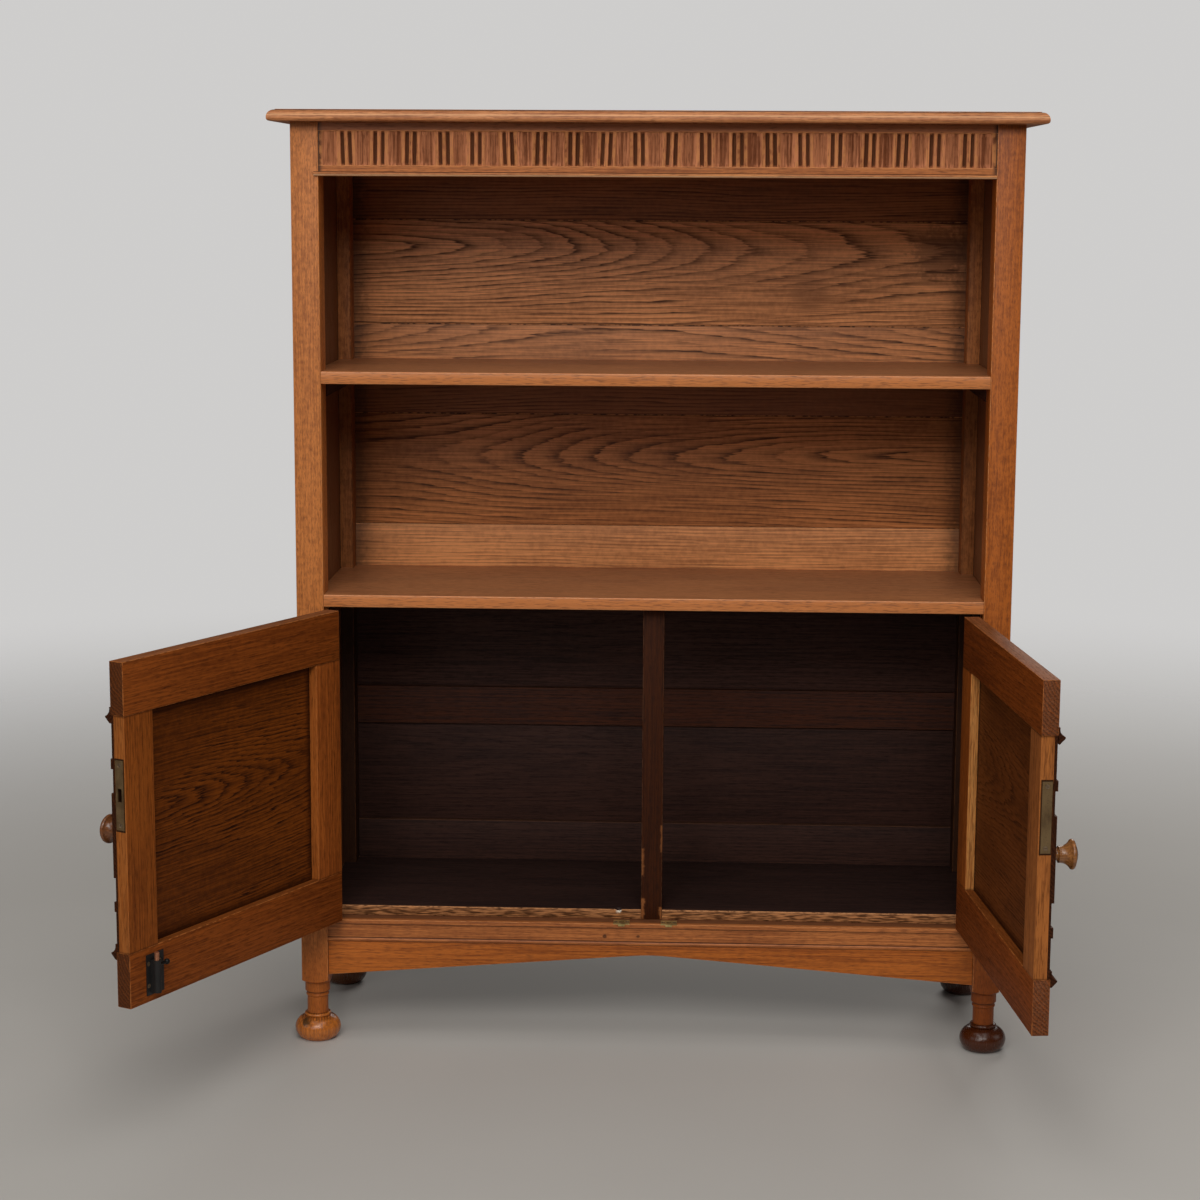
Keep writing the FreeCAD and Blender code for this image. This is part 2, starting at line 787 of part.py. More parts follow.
def bottom_rail():
    """Makes the moulded rail under the doors, with its strike seats and bolt hole."""
    field_high, field_low = ledge - s.rail_fillet, rail_low + s.rail_bead
    field = rail_y[0] + s.rail_field_depth
    run = prism_across("bottom_rail_run", -post_inside, post_inside * 2, [
        (rail_y[1], rail_low), (rail_y[1], ledge), (rail_y[0], ledge), (rail_y[0], field_high),
        (field, field_high), (field, field_low, (rail_y[0], rail_low + s.rail_bead / 2)), (field, rail_low)])
    tenons = end_tenons("bottom_rail_tenon", post_to_post, rail_y, (rail_low, ledge))
    tools = [bolt_hole("rail_bolt_hole", bolt_tip - s.bolt_travel - s.bolt_hole_gap, ledge + 1)]
    for side in (LEFT, RIGHT):
        name = "rail_strike_%d" % (side + 1)
        x = strike_x(side)
        tools.append(block(name + "_seat", wider(middle(x, s.strike_width), s.fit_gap),
                           (rail_y[0] - 1, rail_y[0] + s.strike_depth + s.fit_gap),
                           (ledge + s.strike_proud - s.strike_thick, ledge + 1)))
        tools.append(round_bar(name + "_hole", s.bullet_radius + s.strike_hole_gap, s.bullet_travel * 2,
                               (x, catch_y, ledge - s.bullet_travel * 2)))
        for number, head in enumerate(strike_screws(side)):
            tools.append(screw_room("%s_room%d" % (name, number), head, "-z"))
    return cut("bottom_rail", fuse("bottom_rail_blank", [run, tenons[LEFT], tenons[RIGHT]]), tools)


def apron():
    """Makes the apron, whose lower edge rises in a low gable with a rounded apex."""
    shape = SketchedBody("apron")
    low = rail_low - s.apron_drop
    apex = low + s.apron_gable
    half = post_inside - s.fit_gap
    shoulder = apex - s.apron_apex_round
    outline = shape.sketch("outline", "XZ_Plane", (0, 0, -(front + s.apron_setback)), [[
        (-half, low), (-s.apron_apex_half, shoulder, (0, apex)), (s.apron_apex_half, shoulder),
        (half, low), (half, rail_low), (-half, rail_low)]])
    board = shape.pad("board", outline, s.apron_thick)
    board.Reversed = True
    return shape.body


# Sides, shelves and back

def side_rail(name, side, z, groove_z):
    """Makes a side rail with its two tenons and the groove for the panel."""
    tenons = side_tenons(name + "_tenon", side, z)
    bar = block(name + "_bar", side_rail_x[side], (front_post_y[1], rear_post_y[0]), z)
    groove = block(name + "_groove", wider(panel_x[side], s.fit_gap), wider(panel_y, s.fit_gap), groove_z)
    return cut(name, fuse(name + "_blank", [bar, tenons["front"], tenons["rear"]]), [groove])


def notched_board(name, y, z, more=()):
    """Makes a board between the side panels, notched round the four posts."""
    notches = list(more)
    for side in (LEFT, RIGHT):
        far = half_width + 1
        notches.append(block("%s_front_notch%d" % (name, side + 1), span(side, post_inside - s.fit_gap, far),
                             (front_post_y[0] - 1, front_post_y[1] + s.fit_gap), wider(z, 1)))
        notches.append(block("%s_rear_notch%d" % (name, side + 1), span(side, rear_post_inside - s.fit_gap, far),
                             (rear_post_y[0] - s.fit_gap, rear_post_y[1] + 1), wider(z, 1)))
    return cut(name, block(name + "_board", (-shelf_half, shelf_half), y, z), notches)


def shelf_z(top):
    """Returns the underside and top of a shelf."""
    return (top - s.shelf_thick, top)


def shelf_bearers():
    """Makes the four bearers that carry the two shelves along the side panels."""
    bearers = []
    for side in (LEFT, RIGHT):
        for level, top in (("upper", s.upper_shelf_top), ("lower", s.lower_shelf_top)):
            high = top - s.shelf_thick
            bearers.append(block("bearer_%s%d" % (level, side + 1),
                                 span(side, panel_inside - s.bearer_width, panel_inside),
                                 wider((front_post_y[1], rear_post_y[0]), -s.fit_gap),
                                 (high - s.bearer_height, high)))
    return group("shelf_bearers", bearers)


def bolt_hole(name, low, high):
    """Makes the hole that the barrel bolt of the left door shoots into."""
    return round_bar(name, s.bolt_radius + s.bolt_hole_gap, high - low, (bolt_x, bolt_y, low))


def cupboard_floor():
    """Makes the cupboard floor, notched for the muntin and worn round the bolt hole."""
    room = block("floor_muntin_room", wider(muntin_x, s.fit_gap), (muntin_y[0] - 1, muntin_y[1] + s.fit_gap),
                 (floor_low - 1, s.floor_top + 1))
    hole = bolt_hole("floor_bolt_hole", floor_low - 1, s.floor_top + 1)
    chip = taper("floor_bolt_chip", s.bolt_radius, s.bolt_hole_chip, s.bolt_hole_chip - s.bolt_radius,
                 (bolt_x, bolt_y, s.floor_top - s.bolt_hole_chip + s.bolt_radius))
    return notched_board("cupboard_floor", (front + s.floor_setback, back_rail_front), (floor_low, s.floor_top),
                         (room, hole, chip))


def back_board(name, low, high):
    """Makes a plain back board that laps into the rear posts."""
    return block(name, (-back_half, back_half), back_y, (low, high))


def back_rail(name, low, high):
    """Makes a thicker back rail that stands proud between the rear posts."""
    board = block(name + "_board", (-back_half, back_half), back_y, (low, high))
    proud = block(name + "_proud", wider((-rear_post_inside, rear_post_inside), -s.fit_gap),
                  (back_rail_front, back_y[0]), (low, high))
    return fuse(name, [board, proud])


# Hinges, strikes and the screws of the case

def outwards(side):
    """Returns the way from the middle of the case to one side."""
    return "x" if side == RIGHT else "-x"


def inwards(side):
    """Returns the way from one side to the middle of the case."""
    return outwards(-side)


def leaf_screw_places(low):
    """Returns how far three leaf screws lie from the hinge axis and how high, in a staggered row."""
    near = s.hinge_proud + s.leaf_width * 0.35
    far = s.hinge_proud + s.leaf_width * 0.65
    return ((near, low + s.hinge_length * 0.16), (far, low + s.hinge_length * 0.5),
            (near, low + s.hinge_length * 0.84))


def post_leaf_screws(side, low):
    """Returns the head centres of the screws that hold a leaf to its post."""
    x = along(side, hinge_across + s.leaf_gap)
    return [(x, hinge_y + depth, height) for depth, height in leaf_screw_places(low)]


def door_leaf_screws(side, low):
    """Returns the head centres of the screws that hold a leaf to its door."""
    x = along(-side, s.leaf_gap)
    return [(x, depth, height) for depth, height in leaf_screw_places(low)]


def hinge_leaf(name, side, axis, low, turns, screws, way):
    """Makes one leaf with its knuckles: the plate lies to one side of the axis."""
    pitch = s.hinge_length / 5
    plate_x = span(side, s.leaf_gap, s.leaf_gap + s.leaf_thick)
    x = (axis[0] + plate_x[0], axis[0] + plate_x[1])
    pieces = [block(name + "_plate", x, (axis[1] + s.hinge_proud, axis[1] + s.hinge_proud + s.leaf_width),
                    (low, low + s.hinge_length))]
    for number in turns:
        z = wider((low + pitch * number, low + pitch * (number + 1)), -s.knuckle_side_gap / 2)
        pieces.append(block("%s_tab%d" % (name, number), x, (axis[1], axis[1] + s.hinge_proud), z))
        pieces.append(round_bar("%s_knuckle%d" % (name, number), s.knuckle_radius, z[1] - z[0],
                                (axis[0], axis[1], z[0])))
    bore = round_bar(name + "_bore", s.pin_radius + s.pin_gap, s.hinge_length + 2, (axis[0], axis[1], low - 1))
    rooms = [screw_room("%s_room%d" % (name, number), head, way) for number, head in enumerate(screws)]
    return cut(name, fuse(name + "_blank", pieces), [bore] + rooms)


def hinge_pin(name, axis, low):
    """Makes a hinge pin with a button head at each end."""
    high = low + s.hinge_length - s.knuckle_side_gap / 2
    foot = low + s.knuckle_side_gap / 2
    return fuse(name, [
        round_bar(name + "_shaft", s.pin_radius, high - foot, (axis[0], axis[1], foot)),
        round_bar(name + "_top", s.pin_head_radius, s.pin_head_height, (axis[0], axis[1], high)),
        round_bar(name + "_end", s.pin_head_radius, s.pin_head_height,
                  (axis[0], axis[1], foot - s.pin_head_height)),
    ])


def strike_x(side):
    """Returns where a bullet catch meets the ledge when its door is closed."""
    return along(side, hinge_across - catch_across[side])


def strike_screws(side):
    """Returns the head centres of the screws that hold a strike plate."""
    x, z = strike_x(side), ledge + s.strike_proud
    return [(x - s.strike_screw_from_middle, catch_y, z), (x + s.strike_screw_from_middle, catch_y, z)]


def strike_plate(name, side):
    """Makes a strike plate let into the ledge, with a lip over its front edge."""
    x = strike_x(side)
    z = (ledge + s.strike_proud - s.strike_thick, ledge + s.strike_proud)
    sheet = block(name + "_sheet", middle(x, s.strike_width), (rail_y[0], rail_y[0] + s.strike_depth), z)
    lip = block(name + "_lip", middle(x, s.strike_lip_width), (rail_y[0] - s.strike_thick, rail_y[0]),
                (z[1] - s.strike_lip_drop, z[1]))
    tools = [round_bar(name + "_hole", s.bullet_radius + s.strike_hole_gap, s.strike_thick + 2,
                       (x, catch_y, z[0] - 1))]
    for number, head in enumerate(strike_screws(side)):
        tools.append(screw_room("%s_room%d" % (name, number), head, "-z"))
    return cut(name, fuse(name + "_blank", [sheet, lip]), tools)


def hang_case_ironwork():
    """Makes the leaves, pins, strikes and screws that stay on the case."""
    leaves, pins, screws, strikes = [], [], [], []
    for side in (LEFT, RIGHT):
        axis = (along(side, hinge_across), hinge_y)
        for place, low in hinge_low.items():
            name = "post_leaf_%s%d" % (place, side + 1)
            heads = post_leaf_screws(side, low)
            leaves.append(hinge_leaf(name, side, axis, low, (0, 2, 4), heads, outwards(side)))
            pins.append(hinge_pin("pin_%s%d" % (place, side + 1), axis, low))
            for number, head in enumerate(heads):
                screws.append(screw("%s_screw%d" % (name, number), head, outwards(side)))
        strikes.append(strike_plate("strike_%d" % (side + 1), side))
        for number, head in enumerate(strike_screws(side)):
            screws.append(screw("strike_screw%d_%d" % (side + 1, number), head, "-z"))
    node(group("hinge_post_leaves", leaves), "hinge_post_leaves")
    node(group("hinge_pins", pins), "hinge_pins")
    node(group("strike_plates", strikes), "strike_plates")
    node(group("case_screws", screws), "case_screws")


# Doors

class Door:
    """One door, drawn closed about its hinge axis and then swung open."""

    def __init__(self, side, word, angle):
        self.side = side
        self.word = word
        self.angle = angle
        self.rails_z = {"top": (door_high - s.door_top_rail, door_high),
                        "bottom": (door_low, door_low + s.door_bottom_rail)}
        self.stile_z = (self.rails_z["bottom"][1], self.rails_z["top"][0])
        self.panel_across = (door_near + s.stile_width - s.door_panel_groove,
                             door_far - s.stile_width + s.door_panel_groove)
        self.panel_depth = (door_front + s.meeting_stile_recess,
                            door_front + s.meeting_stile_recess + s.door_panel_thick)
        self.panel_z = (self.stile_z[0] - s.door_panel_groove, self.stile_z[1] + s.door_panel_groove)
        self.strip_face = door_front + s.strip_face

    def across(self, near, far):
        """Returns the X stretch of a piece from its distances to the hinge axis."""
        return span(-self.side, near, far)

    def at(self, distance):
        """Returns the X of a point from its distance to the hinge axis."""
        return along(-self.side, distance)

    def name(self, word):
        """Returns the name of a sub-part of this door."""
        return "%s_%s" % (self.word, word)

    def hang(self, piece, label):
        """Swings a finished piece about the hinge axis and names it."""
        piece.Placement = Placement(Vector(), Rotation(Vector(0, 0, 1), 1.0))
        put(piece, along(self.side, hinge_across), hinge_y, 0)
        bind(piece, "Placement.Rotation.Angle", along(self.side, self.angle))
        return node(piece, label)

    def panel_groove(self, name):
        """Makes the groove that the frame has for the panel."""
        return block(name, self.across(self.panel_across[0] - s.fit_gap, self.panel_across[1] + s.fit_gap),
                     wider(self.panel_depth, s.fit_gap), wider(self.panel_z, s.fit_gap))

    def stile_span(self, which):
        """Returns how far from the hinge axis a stile begins and ends."""
        if which == "hinge":
            return (door_near, door_near + s.stile_width)
        return (door_far - s.stile_width, door_far)

    def stile_tenons(self, name, which, gap=0):
        """Makes the tenons at the two ends of a stile, or with a gap their mortises."""
        near, far = self.stile_span(which)
        x = self.across(near + s.stile_tenon_margin - gap, far - s.stile_tenon_margin + gap)
        y = wider(middle((self.panel_depth[1] + door_back) / 2, s.stile_tenon_thick), gap)
        low, high = self.stile_z
        return {"bottom": block(name + "_low", x, y, (low - s.stile_tenon - gap, low)),
                "top": block(name + "_high", x, y, (high, high + s.stile_tenon + gap))}

    def rail(self, which):
        """Makes a full-width rail with its mortises and panel groove."""
        name = self.name("door_%s_rail" % which)
        tools = [self.panel_groove(name + "_groove")]
        for stile in ("hinge", "meeting"):
            tools.append(self.stile_tenons("%s_%s" % (name, stile), stile, s.fit_gap)[which])
        if which == "bottom":
            tools.append(round_bar(name + "_catch_room", s.catch_barrel_radius + s.fit_gap / 2,
                                   s.catch_barrel_length + s.fit_gap + 1, self.catch_at(door_low - 1)))
            if self.side == LEFT:
                tools += [screw_room("%s_room%d" % (name, number), head, "-y")
                          for number, head in enumerate(self.bolt_screws())]
        bar = block(name + "_bar", self.across(door_near, door_far), (door_front, door_back), self.rails_z[which])
        self.hang(cut(name, bar, tools), name)

    def hinge_stile(self):
        """Makes the stile that the hinges are let into."""
        name = self.name("hinge_stile")
        near, far = self.stile_span("hinge")
        tenons = self.stile_tenons(name + "_tenon", "hinge")
        bar = block(name + "_bar", self.across(near, far), (door_front, door_back), self.stile_z)
        tools = [self.panel_groove(name + "_groove")]
        for place, low in hinge_low.items():
            tools.append(block("%s_%s_seat" % (name, place), self.across(0, s.leaf_gap + s.leaf_thick),
                               (0, s.hinge_proud + s.leaf_width + s.fit_gap),
                               wider((low, low + s.hinge_length), s.fit_gap)))
            for number, head in enumerate(door_leaf_screws(self.side, low)):
                tools.append(screw_room("%s_%s_room%d" % (name, place, number), head, inwards(self.side)))
        blank = fuse(name + "_blank", [bar, tenons["bottom"], tenons["top"]])
        self.hang(cut(name, blank, tools), name)

    def meeting_stile(self):
        """Makes the stile at the free edge, cut for the lock or its keeper and for the knob."""
        name = self.name("meeting_stile")
        near, far = self.stile_span("meeting")
        tenons = self.stile_tenons(name + "_tenon", "meeting")
        bar = block(name + "_bar", self.across(near, far), (self.panel_depth[0], door_back), self.stile_z)
        tools = [self.panel_groove(name + "_groove"), self.knob_room(name + "_knob_room"),
                 self.plate(name + "_plate_seat", s.fit_gap)]
        for number, head in enumerate(self.plate_screws()):
            tools.append(screw_room("%s_plate_room%d" % (name, number), head, inwards(-self.side)))
        if self.side == RIGHT:
            tools += [self.lock_body(name + "_lock_room", s.fit_gap), self.keyhole(name + "_keyhole")]
        else:
            tools.append(self.keeper_slot(name + "_bolt_room"))
        blank = fuse(name + "_blank", [bar, tenons["bottom"], tenons["top"]])
        self.hang(cut(name, blank, tools), name)

    def panel(self):
        """Makes the thin panel that floats in the frame."""
        name = self.name("door_panel")
        sheet = block(name + "_sheet", self.across(*self.panel_across), self.panel_depth, self.panel_z)
        self.hang(group(name, [sheet]), name)

    def moulding(self, name, joint):
        """Makes a peaked moulding over the joint of a rail and the stiles."""
        top = joint + s.moulding_height / 2
        low = top - s.moulding_height
        peak = top - s.moulding_peak_drop
        nose = door_front - s.moulding_proud
        near, far = self.across(door_near, door_far)
        waist = (door_front - s.moulding_proud * 0.42, top - s.moulding_peak_drop * 0.66)
        return prism_across(name, near, far - near, [
            (door_front, low), (door_front, top), (door_front - s.moulding_nose, top, waist),
            (nose, peak + s.moulding_nose / 2), (nose, peak - s.moulding_nose / 2),
            (door_front - s.moulding_nose, low)])

    def strip(self, name):
        """Makes the applied strip of the meeting stile with its tablet and blocks."""
        low, high = self.stile_z
        face, sunk = self.strip_face, door_front + s.strip_sunk
        proud = door_front - s.strip_raised
        steps = [(low, face), (door_middle - s.block_to, proud), (door_middle - s.block_from, sunk),
                 (door_middle - s.tablet_half, proud), (door_middle + s.tablet_half, sunk),
                 (door_middle + s.block_from, proud), (door_middle + s.block_to, face)]
        corners = [(self.panel_depth[0], high), (self.panel_depth[0], low)]
        for number, (level, depth) in enumerate(steps):
            upper = steps[number + 1][0] if number + 1 < len(steps) else high
            corners += [(depth, level), (depth, upper)]
        near, far = self.across(door_far - s.strip_width, door_far)
        solid = prism_across(name + "_solid", near, far - near, corners)
        tools = [self.knob_room(name + "_knob_room")]
        if self.side == RIGHT:
            tools.append(self.keyhole(name + "_keyhole"))
        return cut(name, solid, tools)

    def mouldings(self):
        """Makes the two mouldings and the strip that are glued to the front of the door."""
        name = self.name("door_mouldings")
        pieces = [self.moulding(name + "_upper", self.stile_z[1]), self.moulding(name + "_lower", self.stile_z[0]),
                  self.strip(name + "_strip")]
        self.hang(group(name, pieces), name)

    def knob_room(self, name):
        """Makes the hole for the knob's shank."""
        start = (self.at(door_far - s.knob_from_edge), door_front - s.moulding_proud, door_middle)
        return round_bar(name, s.knob_shank_radius + s.fit_gap / 2,
                         s.knob_shank_length + s.moulding_proud - s.strip_raised + s.fit_gap, start, "y")

    def knob(self):
        """Makes the turned knob that stands on the tablet."""
        name = self.name("door_knob")
        shape = SketchedBody(name)
        seat = door_front - s.strip_raised
        rim = s.knob_radius
        profile = shape.sketch("turning", "YZ_Plane", (seat, door_middle, self.at(door_far - s.knob_from_edge)), [[
            (s.knob_shank_length, 0),
            (s.knob_shank_length, s.knob_shank_radius),
            (0, s.knob_shank_radius),
            (0, s.knob_base_radius),
            (-s.knob_length * 0.07, s.knob_base_radius, (-s.knob_length * 0.15, s.knob_neck_radius)),
            (-s.knob_length * 0.27, s.knob_neck_radius + 1.2),
            (-s.knob_length * 0.27, s.knob_neck_radius + 2.6),
            (-s.knob_length * 0.35, s.knob_neck_radius + 2.6, (-s.knob_length * 0.56, rim * 0.66)),
            (-s.knob_length * 0.72, rim * 0.94, (-s.knob_length * 0.79, rim)),
            (-s.knob_length * 0.86, rim * 0.93),
            (-s.knob_length * 0.86, rim * 0.84, (-s.knob_length * 0.965, rim * 0.45)),
            (-s.knob_length, rim * 0.08),
            (-s.knob_length, 0),
        ]])
        shape.turn("Revolution", "turned", profile, "H_Axis")
        self.hang(shape.body, name)

    def hinges(self):
        """Makes the two leaves let into the hinge stile."""
        name = self.name("hinge_leaves")
        leaves = []
        for place, low in hinge_low.items():
            heads = door_leaf_screws(self.side, low)
            leaves.append(hinge_leaf("%s_%s" % (name, place), -self.side, (sized(0), sized(0)), low, (1, 3), heads,
                                     inwards(self.side)))
        self.hang(group(name, leaves), name)

    def plate(self, name, gap=0):
        """Makes the flat brass plate on the free edge, or with a gap its seat."""
        x = self.across(door_far - s.plate_thick, door_far + gap)
        return block(name, x, wider(middle(lock_depth, s.plate_width), gap),
                     wider(middle(lock_height, s.plate_length), gap))

    def plate_screws(self):
        """Returns the head centres of the two screws of the plate on the free edge."""
        reach = s.plate_length / 2 - s.plate_screw_margin
        x = self.at(door_far)
        return [(x, lock_depth, lock_height - reach), (x, lock_depth, lock_height + reach)]

    def lock_body(self, name, gap=0):
        """Makes the lock case behind its plate, or with a gap its mortise."""
        x = self.across(door_far - s.lock_case_depth - gap, door_far - s.plate_thick)
        return block(name, x, wider(middle(lock_depth, s.lock_case_thick), gap),
                     wider(middle(lock_height, s.lock_case_height), gap))

    def keyhole(self, name):
        """Makes the round hole behind the escutcheon, as far as the lock's works."""
        start = (self.at(door_far - s.knob_from_edge), door_front - s.moulding_proud,
                 lock_height + s.keyhole_above_bolt)
        return round_bar(name, s.keyhole_radius * 1.5, lock_depth - start[1], start, "y")

    def lock_bar(self, name, gap, more=0):
        """Makes the sliding bolt of the lock, or with gaps the channel that it runs in."""
        x = self.across(door_far - s.lock_bolt_length - more, door_far + more)
        return block(name, x, wider(middle(lock_depth, s.lock_bolt_thick), gap),
                     wider(middle(lock_height, s.lock_bolt_height), gap))

    def keeper_slot(self, name):
        """Makes the slot that the lock's bolt shoots into."""
        x = self.across(door_far - s.lock_travel - s.keeper_gap * 2, door_far + 1)
        return block(name, x, wider(middle(lock_depth, s.lock_bolt_thick), s.keeper_gap),
                     wider(middle(lock_height, s.lock_bolt_height), s.keeper_gap))

    def lock(self):
        """Makes the lock case with its plate, its bolt and the escutcheon."""
        tools = [self.lock_bar("lock_channel", s.fit_gap / 2, s.fit_gap), self.keyhole("lock_keyhole")]
        tools += [screw_room("lock_room%d" % number, head, inwards(-self.side))
                  for number, head in enumerate(self.plate_screws())]
        blank = fuse("lock_blank", [self.plate("lock_plate"), self.lock_body("lock_body")])
        self.hang(cut("lock_case", blank, tools), "lock_case")
        self.hang(group("lock_bolt", [self.lock_bar("lock_bolt_bar", 0)]), "lock_bolt")
        centre = (self.at(door_far - s.knob_from_edge), door_front + s.strip_sunk - s.escutcheon_thick,
                  lock_height + s.keyhole_above_bolt)
        disc = round_bar("escutcheon_disc", s.escutcheon_radius, s.escutcheon_thick, centre, "y")
        eye = round_bar("escutcheon_eye", s.keyhole_radius, s.escutcheon_thick + 2,
                        (centre[0], centre[1] - 1, centre[2]), "y")
        slit = block("escutcheon_slit", middle(centre[0], s.keyhole_radius), wider(middle(centre[1], 4), 0),
                     (centre[2] - s.keyhole_radius * 2.4, centre[2]))
        self.hang(cut("escutcheon", disc, [eye, slit]), "escutcheon")

    def keeper(self):
        """Makes the keeper plate that faces the lock."""
        tools = [self.keeper_slot("keeper_slot")]
        tools += [screw_room("keeper_room%d" % number, head, inwards(-self.side))
                  for number, head in enumerate(self.plate_screws())]
        self.hang(cut("keeper_plate", self.plate("keeper_sheet"), tools), "keeper_plate")

    def bolt_plate_span(self):
        """Returns the stretch of the bolt's plate across the door."""
        return (s.bolt_across - s.bolt_plate_left, s.bolt_across + s.bolt_plate_right)

    def bolt_screws(self):
        """Returns the head centres of the four screws of the bolt's plate."""
        near, far = self.bolt_plate_span()
        columns = ((near + s.bolt_across - s.barrel_radius) / 2, (far + s.bolt_across + s.barrel_radius) / 2)
        low = door_low + s.catch_barrel_length + s.screw_head_radius * 1.5
        high = door_low + s.bolt_plate_low + s.bolt_plate_height - s.screw_head_radius * 4
        depth = door_back + s.bolt_plate_thick
        return [(self.at(column), depth, level) for column in columns for level in (low, high)]

    def barrel_bolt(self):
        """Makes the plate with its barrel, and the drawn bolt with its arm and knob."""
        plate_z = (door_low + s.bolt_plate_low, door_low + s.bolt_plate_low + s.bolt_plate_height)
        plate_face = door_back + s.bolt_plate_thick
        barrel_low = s.floor_top + s.barrel_above_floor
        barrel_z = (barrel_low, barrel_low + s.barrel_length)
        x = self.at(s.bolt_across)
        sheet = block("bolt_sheet", self.across(*self.bolt_plate_span()), (door_back, plate_face), plate_z)
        saddle = block("bolt_saddle", middle(x, s.barrel_radius * 2), (plate_face, bolt_depth), barrel_z)
        barrel = round_bar("bolt_barrel", s.barrel_radius, s.barrel_length, (x, bolt_depth, barrel_low))
        bore = round_bar("bolt_bore", s.bolt_radius + s.bolt_bore_gap, s.barrel_length + 2,
                         (x, bolt_depth, barrel_low - 1))
        arm_z = bolt_tip + s.bolt_arm_up
        arm_room = s.bolt_arm_radius + s.fit_gap
        slot = block("bolt_slot", (x - s.barrel_radius - 1, x), middle(bolt_depth, arm_room * 2),
                     (arm_z - s.bolt_travel - arm_room, arm_z + arm_room))
        rooms = [screw_room("bolt_room%d" % number, head, "-y") for number, head in enumerate(self.bolt_screws())]
        housing = cut("bolt_housing", fuse("bolt_housing_blank", [sheet, saddle, barrel]), [bore, slot] + rooms)
        self.hang(housing, "bolt_housing")
        rod = round_bar("bolt_rod", s.bolt_radius, s.bolt_length, (x, bolt_depth, bolt_tip))
        arm = SketchedBody("bolt_arm")
        ball = s.bolt_knob_radius
        reach = -s.bolt_arm_length
        profile = arm.sketch("turning", "XZ_Plane", (x, arm_z, -bolt_depth), [[
            (0, 0),
            (0, s.bolt_arm_radius),
            (reach + ball * 0.85, s.bolt_arm_radius, (reach, ball)),
            (reach - ball * 0.98, ball * 0.2),
            (reach - ball * 0.98, 0),
        ]])
        arm.turn("Revolution", "turned", profile, "H_Axis")
        self.hang(fuse("door_bolt", [rod, arm.body]), "door_bolt")

    def catch_at(self, z):
        """Returns the axis of the bullet catch at one height."""
        return (self.at(catch_across[self.side]), catch_depth, z)

    def catch(self):
        """Makes the bullet catch in the bottom edge: its barrel and its sprung bullet, pressed in."""
        name = self.name("catch_barrel")
        bore = s.bullet_radius + s.bullet_collar + s.bullet_gap
        tube = round_bar(name + "_tube", s.catch_barrel_radius, s.catch_barrel_length, self.catch_at(door_low))
        mouth = round_bar(name + "_mouth", s.bullet_radius + s.bullet_gap, s.catch_mouth + 2,
                          self.catch_at(door_low - 1))
        room = round_bar(name + "_room", bore, s.catch_barrel_length - s.catch_mouth * 2,
                         self.catch_at(door_low + s.catch_mouth))
        self.hang(cut(name, tube, [mouth, room]), name)
        name = self.name("catch_bullet")
        shape = SketchedBody(name)
        nose = s.bullet_radius
        collar_low = s.bullet_showing + s.catch_mouth + s.bullet_travel + s.bullet_gap
        collar_high = collar_low + s.bullet_collar_height
        at_x, at_y, tip = self.catch_at(door_low - s.bullet_showing)
        profile = shape.sketch("turning", "XZ_Plane", (at_x, tip, -at_y), [[
            (0, 0),
            (nose * 0.2, 0, (nose * 0.72, nose * 0.3)),
            (nose, nose),
            (nose, collar_low),
            (nose + s.bullet_collar, collar_low),
            (nose + s.bullet_collar, collar_high),
            (nose, collar_high),
            (nose, s.bullet_length),
            (0, s.bullet_length),
        ]])
        shape.turn("Revolution", "turned", profile, "V_Axis")
        self.hang(shape.body, name)

    def screws(self):
        """Makes every screw that rides on this door."""
        name = self.name("door_screws")
        places = [(head, inwards(-self.side)) for head in self.plate_screws()]
        for low in hinge_low.values():
            places += [(head, inwards(self.side)) for head in door_leaf_screws(self.side, low)]
        if self.side == LEFT:
            places += [(head, "-y") for head in self.bolt_screws()]
        made = [screw("%s_%d" % (name, number), head, way) for number, (head, way) in enumerate(places)]
        self.hang(group(name, made), name)

    def build(self):
        """Makes every sub-part of the door."""
        self.rail("top")
        self.rail("bottom")
        self.hinge_stile()
        self.meeting_stile()
        self.panel()
        self.mouldings()
        self.knob()
        self.hinges()
        self.catch()
        self.screws()
        if self.side == LEFT:
            self.keeper()
            self.barrel_bolt()
        else:
            self.lock()


# The whole bookcase

